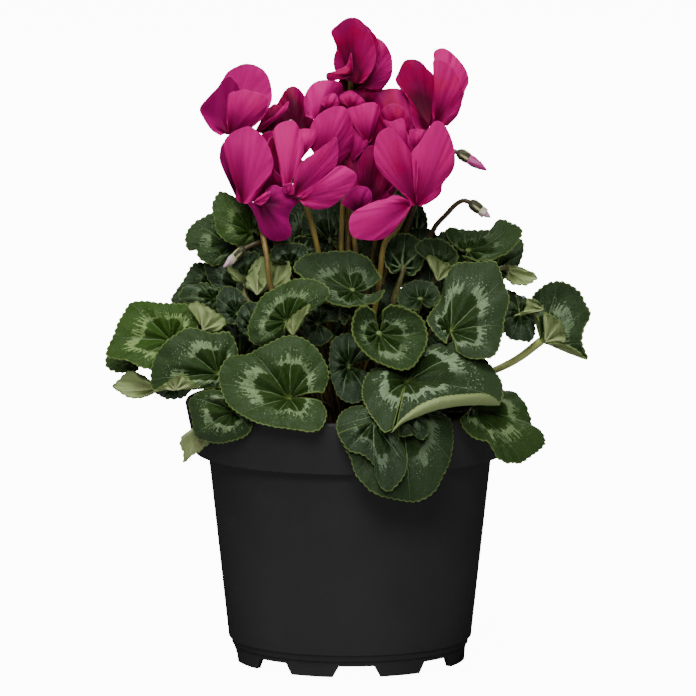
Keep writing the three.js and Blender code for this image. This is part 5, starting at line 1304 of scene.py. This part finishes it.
def blade(name, spec, look, tone, mark, seed, *materials):
    """A thin blade: a fan from its root to its rim, toothed and waved, with a face on each side."""
    middle, rim = spec["at"], spec["rim"]
    facing = facing_of(middle, rim)
    curve = through(rim, CURVE_STEPS)
    _, length = evenly(curve, 1)
    columns = max(24, round(length / MM / look["spacing"]))
    points, _ = evenly(curve, columns)
    turns = [0.0]
    for first, second in zip(points, points[1:]):
        turns.append(turns[-1] + (first - middle).angle(second - middle, 0.0))
    rows = look["rows"]
    outs = [1 - (1 - row / rows) ** 1.5 for row in range(rows + 1)]
    bulge = spec["bulge"] * MM
    teeth = look["tooth"] and max(1, round(length / MM / look["tooth"]))
    phase = seed * 1.7

    def place(column, row):
        out = outs[row]
        share = column / columns
        spoke = points[column] - middle
        if teeth:
            notch = abs(math.sin(math.pi * teeth * share)) - 0.55
            uneven = 0.6 + 0.8 * noise.noise(Vector((share * 31, phase, 0.5))) ** 2
            depth = look["tooth_depth"] * uneven
            near_rim = max(0.0, out * 6 - 5)
            spoke = spoke * (1 + notch * depth * MM / max(spoke.length, MM) * near_rim)
        at = middle + spoke * out + facing * (bulge * 4 * out * (1 - out))
        ridge = max(0.0, 1 - abs(share - 0.5) * 5) * math.sin(math.pi * min(out * 1.1, 1.0))
        at += facing * (math.copysign(look["keel"], bulge) * MM * ridge)
        wave = noise.noise(Vector((share * 9 + phase, out * 1.5, phase))) * LONG_WAVE
        wave += noise.noise(Vector((share * 27 + phase, out * 3, phase + 5))) * SHORT_WAVE
        at += facing * (wave * look["ruffle"] * MM * out ** 2)
        vein = math.cos(2 * math.pi * (turns[column] - turns[-1] / 2) / VEIN_TURN)
        at -= facing * (vein * look["quilt"] * MM * math.sin(math.pi * min(out * 1.15, 1.0)))
        return at

    def note(mesh, cells):
        for name, kind in (("blade_place", "FLOAT_VECTOR"), ("blade_look", "FLOAT_VECTOR"),
                           ("blade_violet", "FLOAT")):
            mesh.attributes.new(name, kind, "POINT")
        places = mesh.attributes["blade_place"]
        looks = mesh.attributes["blade_look"]
        for entry in mesh.attributes["blade_violet"].data:
            entry.value = spec.get("violet", 0.0)
        shares = mesh.uv_layers["UVMap"].data
        for loop in mesh.loops:
            column, row = cells[loop.vertex_index]
            shares[loop.index].uv = (column / columns, outs[row])
        for index, (column, row) in enumerate(cells):
            length = (points[column] - middle).length / MM
            reach = length / 10 * outs[row]
            turn = turns[column] - turns[-1] / 2
            places.data[index].vector = (reach * math.sin(turn), reach * math.cos(turn), tone)
            slit = min(turns[column], turns[-1] - turns[column], 1.5)
            from_slit = reach * 10 * math.sin(slit) + 4 * (outs[row] < 0.2)
            edge = min(length * (1 - outs[row]), from_slit, FARTHEST_EDGE)
            looks.data[index].vector = (mark, seed, edge)

    piece = skin(name, columns, rows, place, note)
    edited(bpy.ops.mesh.flip_normals)
    return thickened(piece, look["thickness"], *materials)


# How far out a stalk starts, how it rises and arrives, and what it is without its own tone
STALK_SPREAD = 0.24
STALK_STEPS = 24
STALK_RISE = 0.38
STALK_APPROACH = 0.25
STALK_TONE = 0.1
FOOT_STEP = Vector((0.4, 0.3, 0.1)) * MM
EDGE_ON_REACH = 1.5 * MM


def crown_foot(plan):
    """Where a stalk leaves the crown, above a given point of its plan."""
    return Vector((*plan, CROWN_HEIGHT + GAP)) * MM


def crown_place(target):
    """Where a stalk leaves the crown: towards its leaf, further out for a leaf further out."""
    plan = Vector((target.x, target.y, 0))
    reach = min(plan.length * STALK_SPREAD, (TUBER_RADIUS - 4) * MM)
    foot = plan.normalized() * reach
    foot.z = (CROWN_HEIGHT + GAP) * MM
    return foot


def leaf(name, spec, foot, tone, silver, seed):
    """A leaf's blade and its stalk, which comes up from the crown and meets the underside."""
    sides = (UNDER, UPPER) if spec.get("swap") else (UPPER, UNDER)
    face = blade(name + "_blade", spec, LEAF_LOOK, tone, silver, seed, *sides)
    if spec.get("flap"):
        return [face]
    middle, rim = spec["at"], spec["rim"]
    span = (middle - foot).length
    if spec.get("edge_on"):
        away = (sum(rim, Vector()) / len(rim) - middle).normalized()
        end = middle + away * EDGE_ON_REACH
    else:
        away = facing_of(middle, rim)
        end = middle
    if "via" in spec:
        path = through([foot, *[seen(place) for place in spec["via"]], end], 8)
    else:
        bend = [foot + UP * (span * STALK_RISE), middle - away * (span * STALK_APPROACH)]
        path = bezier([foot, *bend, end], STALK_STEPS)
    width = spec.get("stalk_width", 1.0)
    stalk = tube(name + "_stalk", path, lambda t: 1.0 + (width * 0.9 - 1.0) * t)
    return [face, dress(toned(stalk, spec.get("stalk_tone", STALK_TONE)), LEAF_STALK)]


# How finely a rolled margin is divided, and its teeth
ROLL_COLUMNS = 110
ROLL_ROWS = 12
ROLL_TEETH = 22


def rolled_edge(name, spec):
    """A leaf's margin that is rolled over onto its upper face, so that the underside shows."""
    fold, free = [
        evenly(through([seen(place) for place in spec[side]], CURVE_STEPS), ROLL_COLUMNS)[0]
        for side in ("fold", "edge")]

    def place(column, row):
        share = row / ROLL_ROWS
        at = fold[column].lerp(free[column], share)
        end = min(1.0, 6 * min(column, ROLL_COLUMNS - column) / ROLL_COLUMNS)
        at.y -= spec["bulge"] * MM * end * math.sin(math.pi * share) ** 0.7
        if row == ROLL_ROWS:
            tooth = abs(math.sin(math.pi * ROLL_TEETH * column / ROLL_COLUMNS)) - 0.5
            at.z += 0.35 * MM * tooth
        return at

    def note(mesh, cells):
        for name in ("blade_place", "blade_look"):
            mesh.attributes.new(name, "FLOAT_VECTOR", "POINT")
        places = mesh.attributes["blade_place"]
        looks = mesh.attributes["blade_look"]
        for index, (column, row) in enumerate(cells):
            share = row / ROLL_ROWS
            width = (free[column] - fold[column]).length / MM
            along = (fold[column] - fold[0]).length / CM
            places.data[index].vector = (along - 2, 2 + width / 10 * share, 0.0)
            looks.data[index].vector = (0, 1, min(width * (1 - share), FARTHEST_EDGE))
    return thickened(skin(name, ROLL_COLUMNS, ROLL_ROWS, place, note),
                     LEAF_LOOK["thickness"], UNDER)


# A heart's outline, as (degrees from its point, reach), and how far its sides curl down
HEART = [(-160, 0.55), (-130, 0.7), (-95, 0.74), (-60, 0.79), (-28, 0.9), (0, 1), (28, 0.9),
         (60, 0.79), (95, 0.74), (130, 0.7), (160, 0.55)]
HEART_CURL = -0.12


def heart_leaf(azimuth, distance, height, length, droop, turn):
    """A leaf at the back by rule: a heart outline at its azimuth, distance and height."""
    angle = math.radians(azimuth)
    out = Vector((math.cos(angle), math.sin(angle), 0))
    at = (out * distance + UP * height) * MM
    fall = math.radians(droop)
    along = out * math.cos(fall) - UP * math.sin(fall)
    face = out * math.sin(fall) + UP * math.cos(fall)
    along = Matrix.Rotation(math.radians(turn), 3, face) @ along
    side = face.cross(along)
    rim = []
    for degrees, reach in HEART:
        spoke = math.radians(degrees)
        curl = HEART_CURL * length * math.sin(spoke) ** 2
        flat = (along * (length * reach * math.cos(spoke))
                + side * (length * reach * math.sin(spoke)))
        rim.append(at + (flat + face * curl) * MM)
    return dict(at=at, rim=rim, bulge=2)


def petal(name, spec, tone, seed):
    """A petal's blade."""
    return blade(name, spec, PETAL_LOOK, tone, spec.get("split", 0.0), seed, PETAL)


# A petal by rule: half its width, and its outline as (height, share of that width)
PETAL_HALF_WIDTH = 7.5
PETAL_OUTLINE = [(0.2, 0.22), (0.5, 0.8), (0.82, 0.95), (1, 0.4), (1, -0.3), (0.84, -0.95),
                 (0.5, -0.85), (0.2, -0.22)]


def rule_petal(mouth, degrees, length):
    """A petal by rule: from the mouth it stands up and leans out, broad above its middle."""
    turn = math.radians(degrees)
    out = Vector((math.cos(turn), math.sin(turn), 0))
    side = Vector((-out.y, out.x, 0))

    def place(height, width):
        lean = 2 + 9 * (1 - (1 - height) ** 2)
        rise = 2 + length * height
        return mouth + (out * lean + side * (width * PETAL_HALF_WIDTH) + UP * rise) * MM
    return dict(at=place(0, 0), rim=[place(*point) for point in PETAL_OUTLINE], bulge=3)


# A flower's turned parts, as (radius, height), and how its stem hooks over, as (out, height)
THROAT_PROFILE = [(0, 3), (1.4, 2.2), (2.3, 0.9), (2.8, 0.8), (3.1, 1.5), (2.9, 3.4), (2.6, 6.5),
                  (0, 6.5)]
CALYX_PROFILE = [(0, 6.8), (3.2, 6.8), (3.3, 7.6), (2.9, 8.8), (1.6, 10.2), (0, 10.4)]
STEM_CROOK = [(6.6, -4), (5.6, 6), (4.4, 12), (2.2, 14.4), (0.4, 12.4), (0, 9)]
ROUND_SIDES = 30
FLOWER_PARTS = 5
BEHIND = Vector((0, 3 * MM, 0))
BEHIND_TONE = 0.1
STEM_TONE = 0.25
BUD_STEM_TONE = -0.1


def stem_radius(t):
    """A flower stem's radius in millimetres, from its foot at 0 to its end at 1."""
    return 1.15 - 0.2 * t


def flower(name, spec, number):
    """A nodding flower: the throat with its mouth down, petals turned up, calyx and stem."""
    mouth = seen(spec["mouth"])
    throat = turned(name + "_throat", ROUND_SIDES, THROAT_PROFILE)
    throat.data.transform(Matrix.Translation(mouth))
    pieces = [dress(throat, THROAT)]
    for index, shown in enumerate(PETALS[name]):
        pieces.append(petal(f"{name}_petal_{index}", shown, shown["tone"], number * 7 + index))
    for index, degrees in enumerate(spec["behind"]):
        made = rule_petal(mouth + BEHIND, degrees, spec["length"])
        pieces.append(petal(f"{name}_behind_{index}", made, BEHIND_TONE, number * 7 + 5 + index))
    finished(joined(name + "_petals_shown", pieces), name + "_petals", 50)

    turn = math.radians(spec["hook"])
    crook = [mouth + Vector((out * math.cos(turn), out * math.sin(turn), rise)) * MM
             for out, rise in STEM_CROOK]
    foot = crown_foot(spec["foot"])
    rise = [seen(place) for place in spec["stem"]]
    path = through([foot, foot + UP * (7 * MM), *rise, *crook], 5)
    stem = toned(tube(name + "_stalk", path, stem_radius), spec.get("stalk_tone", STEM_TONE))
    calyx = turned(name + "_calyx", ROUND_SIDES, CALYX_PROFILE, FLOWER_PARTS, 0.06)
    calyx.data.transform(Matrix.Translation(mouth))
    pieces = [dress(stem, FLOWER_STALK), dress(calyx, CALYX)]
    finished(joined(name + "_stem_shown", pieces), name + "_stem", 50)


# A bud's calyx and the lower part of its roll, as (radius, height); further up, as (radius, share)
BUD_CALYX = [(0, 0), (1.2, 0.1), (2.1, 0.9), (2.6, 2.0), (2.7, 4.2), (2.45, 5.4), (0, 5.4)]
BUD_LOW = [(0, 4.0), (1.7, 4.0), (2.1, 5.0), (2.35, 6.5), (2.3, 8.0)]
BUD_HIGH = [(1.9, 0.72), (1.2, 0.86), (0.5, 0.97)]
BUD_SIDES = 40
BUD_TWIST = 1.4
BUD_FOLD = 0.09
STEM_IN_BUD = 0.08


def bud(name, spec):
    """A bud: a pointed twisted roll of petals in its calyx, on an arching stem."""
    start = seen(spec["neck"])
    tip = seen(spec["point"])
    reach = (tip - start).length / MM
    turn = UP.rotation_difference(tip - start).to_matrix().to_4x4()
    stand = Matrix.Translation(start) @ turn
    plump = spec["plump"]
    high = [(radius, reach * share) for radius, share in BUD_HIGH]
    profile = [*BUD_LOW, *high, (0, reach + 0.1)]
    spine = through([Vector((radius * plump, 0, height)) for radius, height in profile], 4)

    def place(column, row):
        share = column / BUD_SIDES
        point = spine[row]
        twist = row / len(spine) * BUD_TWIST
        fold = 1 + BUD_FOLD * abs(math.sin(math.pi * (share * FLOWER_PARTS + twist)))
        radius = max(point.x, 0) * fold * 0.97
        angle = 2 * math.pi * share
        return stand @ (
            Vector((radius * math.cos(angle), radius * math.sin(angle), point.z)) * MM)
    roll = outwards(skin(name + "_roll", BUD_SIDES, len(spine) - 1, place))
    finished(dress(toned(roll, spec["tone"]), BUD), name + "_petals", 40)
    profile = [(radius * plump, height) for radius, height in BUD_CALYX]
    calyx = turned(name + "_calyx", ROUND_SIDES, profile, FLOWER_PARTS, 0.05)
    calyx.data.transform(stand)
    rise = [seen(point) for point in spec["stem"]]
    path = through([crown_foot(spec["foot"]), *rise, start.lerp(tip, STEM_IN_BUD)], 8)
    stem = toned(tube(name + "_stalk", path, stem_radius), BUD_STEM_TONE)
    pieces = [dress(stem, FLOWER_STALK), dress(calyx, CALYX)]
    finished(joined(name + "_stem_shown", pieces), name + "_stem", 50)


def pot():
    """A thin wall with a flared lip, a floor with drain holes, and a foot ring with notches."""
    profile = [
        (0, FLOOR_UNDERSIDE), (FOOT_RADIUS - FOOT_RING, FLOOR_UNDERSIDE),
        (FOOT_RADIUS - FOOT_RING, 0), (FOOT_RADIUS, 0), (FOOT_RADIUS + 0.3, FOOT_HEIGHT),
        (BODY_FOOT_RADIUS, FOOT_HEIGHT + 1.2), (BODY_TOP_RADIUS, LIP_BOTTOM - 0.4),
        (LIP_RADIUS - LIP_FLARE, LIP_BOTTOM), (LIP_RADIUS - 0.1, POT_HEIGHT - 1.4),
        (LIP_RADIUS, POT_HEIGHT - 1), (LIP_RADIUS - 0.4, POT_HEIGHT),
        (LIP_RADIUS - POT_WALL, POT_HEIGHT),
        (LIP_RADIUS - LIP_FLARE - POT_WALL, LIP_BOTTOM + POT_WALL),
        (BODY_TOP_RADIUS - POT_WALL, LIP_BOTTOM - 0.4), (BODY_FOOT_RADIUS - POT_WALL, FLOOR_TOP),
        (0, FLOOR_TOP)]
    whole = dress(turned("pot_shown", POT_SIDES, profile), POT)
    cutters = []
    for index in range(NOTCH_COUNT):
        turn = math.radians(NOTCH_TURN - 90 + 360 * index / NOTCH_COUNT)
        bpy.ops.mesh.primitive_cube_add(size=1)
        notch = bpy.context.object
        for vertex in notch.data.vertices:
            low = vertex.co.z < 0
            wide = NOTCH_WIDTH / 2 + (NOTCH_SPLAY if low else 0)
            vertex.co = Vector((FOOT_RADIUS + 12 * vertex.co.x, 2 * wide * vertex.co.y,
                                -1 if low else NOTCH_HEIGHT)) * MM
        notch.data.transform(Matrix.Rotation(turn, 4, "Z"))
        ring = turn + math.pi / NOTCH_COUNT
        bpy.ops.mesh.primitive_cylinder_add(
            vertices=32, radius=DRAIN_RADIUS * MM, depth=6 * MM,
            location=(DRAIN_RING * MM * math.cos(ring), DRAIN_RING * MM * math.sin(ring),
                      (FLOOR_UNDERSIDE + 1) * MM))
        drain = bpy.context.object
        bpy.ops.object.transform_apply(location=True)
        cutters += [notch, drain]
    cutter = joined("cutter", cutters)
    apply_modifier(whole, "BOOLEAN", operation="DIFFERENCE", object=cutter, solver="EXACT")
    bpy.data.objects.remove(cutter)
    apply_modifier(whole, "BEVEL", width=0.25 * MM, segments=2, limit_method="ANGLE",
                   angle_limit=math.radians(35), harden_normals=False)
    finished(whole, "pot", 35)


# The tuber's side, as shares of (its radius, its depth)
TUBER_SHAPE = [(0.55, -1), (0.9, -0.72), (1, -0.42), (0.98, -0.12), (0.9, 0)]


def tuber_profile(grow):
    """The tuber's side, or that of a pit larger by grow, in millimetres."""
    return [(TUBER_RADIUS * out + grow, CROWN_HEIGHT + TUBER_DEPTH * down)
            for out, down in TUBER_SHAPE]


def tuber():
    """The tuber, half sunk in the soil."""
    profile = [(0, CROWN_HEIGHT - TUBER_DEPTH), *tuber_profile(0), (0, CROWN_HEIGHT)]
    piece = dress(turned("tuber_shown", 64, profile), CORK)
    apply_modifier(piece, "BEVEL", width=1.2 * MM, segments=3, limit_method="ANGLE",
                   angle_limit=math.radians(20))
    finished(piece, "tuber", 40)


SOIL_RINGS = 26
CRUMB_COUNT = 260


def soil():
    """The filling, with a crumbly top, a pit for the tuber, and loose crumbs."""
    slope = (BODY_TOP_RADIUS - BODY_FOOT_RADIUS) / (LIP_BOTTOM - FLOOR_TOP)

    def wall(height):
        return BODY_FOOT_RADIUS - POT_WALL - GAP * 1.4 + slope * (height - FLOOR_TOP)

    pit = tuber_profile(GAP)
    rim = wall(SOIL_TOP) - 0.4
    profile = [(0, FLOOR_TOP + GAP), (wall(FLOOR_TOP) - 0.2, FLOOR_TOP + GAP),
               (wall(LIP_BOTTOM - 2), LIP_BOTTOM - 2), (rim, SOIL_TOP - 0.6)]
    inward = pit[-1][0] + 0.5 - wall(SOIL_TOP) + 0.4
    for step in range(1, SOIL_RINGS + 1):
        share = step / SOIL_RINGS
        profile.append((rim + inward * share, SOIL_TOP + 0.4 * share))
    profile += [(radius, min(height, SOIL_TOP)) for radius, height in reversed(pit)]
    profile.append((0, CROWN_HEIGHT - TUBER_DEPTH - GAP))
    piece = turned("soil_shown", 120, profile)
    for vertex in piece.data.vertices:
        if vertex.co.z > (SOIL_TOP - 0.2) * MM:
            lump = noise.noise(vertex.co * 220) * 0.9 + noise.noise(vertex.co * 600) * 0.5
            vertex.co.z += lump * MM

    random.seed(11)
    crumbs = [piece]
    for _ in range(CRUMB_COUNT):
        angle = random.uniform(0, 2 * math.pi)
        radius = random.uniform(26, 55) * MM
        size = random.uniform(0.5, 1.5) * MM
        bpy.ops.mesh.primitive_ico_sphere_add(subdivisions=1, radius=size)
        crumb = bpy.context.object
        for vertex in crumb.data.vertices:
            vertex.co *= random.uniform(0.7, 1.2)
            vertex.co.z *= 0.7
            vertex.co += Vector((radius * math.cos(angle), radius * math.sin(angle),
                                 SOIL_TOP * MM + size * 0.2))
        crumbs.append(crumb)
    finished(dress(joined("soil_shown", crumbs), PEAT), "soil", 60)


pot()
soil()
tuber()

for node, rows in BACK_LEAVES.items():
    LEAVES[node] = [heart_leaf(*row) for row in rows]
FLAP_TONE = 0.1
seed = 0
for node, specs in LEAVES.items():
    green_and_painted_light, silver, *plan = LEAF_NODES[node]
    pieces = []
    for order, spec in enumerate(specs):
        seed += 1
        if "fold" in spec:
            pieces.append(rolled_edge(f"{node}_roll", spec))
            continue
        foot = crown_foot(plan[0]) if plan else crown_place(spec["at"])
        foot += FOOT_STEP * order
        tone = spec.get("tone", green_and_painted_light + 0.1 * noise.noise(Vector((seed * 0.77, 3.1, 0.5))))
        if spec.get("flap"):
            tone = min(tone, FLAP_TONE)
        shine = spec.get("silver", silver)
        pieces += leaf(f"{node}_{order}", spec, foot, tone, shine, seed)
    finished(joined(node + "_shown", pieces), node, 60)

for number, (name, spec) in enumerate(FLOWERS.items()):
    flower(name, spec, number)
for name, spec in BUDS.items():
    bud(name, spec)

# The floor is pale and, where the camera sees it, as bright as the air behind it
FLOOR_GREY = (0.4, 0.4, 0.4, 1)
FLOOR_GLOW = 12.0
bpy.ops.mesh.primitive_plane_add(size=60)
floor = bpy.context.object
floor.name = "floor"
studio = Finish("studio_floor", 0.8, Base_Color=FLOOR_GREY)
seen_floor = studio.node("LightPath")
glow = studio.node("Emission", {"Color": (1, 1, 1), "Strength": seen_floor * FLOOR_GLOW})
both = studio.node("AddShader", {0: Value(studio, studio.shader.outputs[0]), 1: glow})
studio.tree.links.new(both.socket, studio.tree.nodes["Material Output"].inputs["Surface"])
floor.data.materials.append(studio.material)
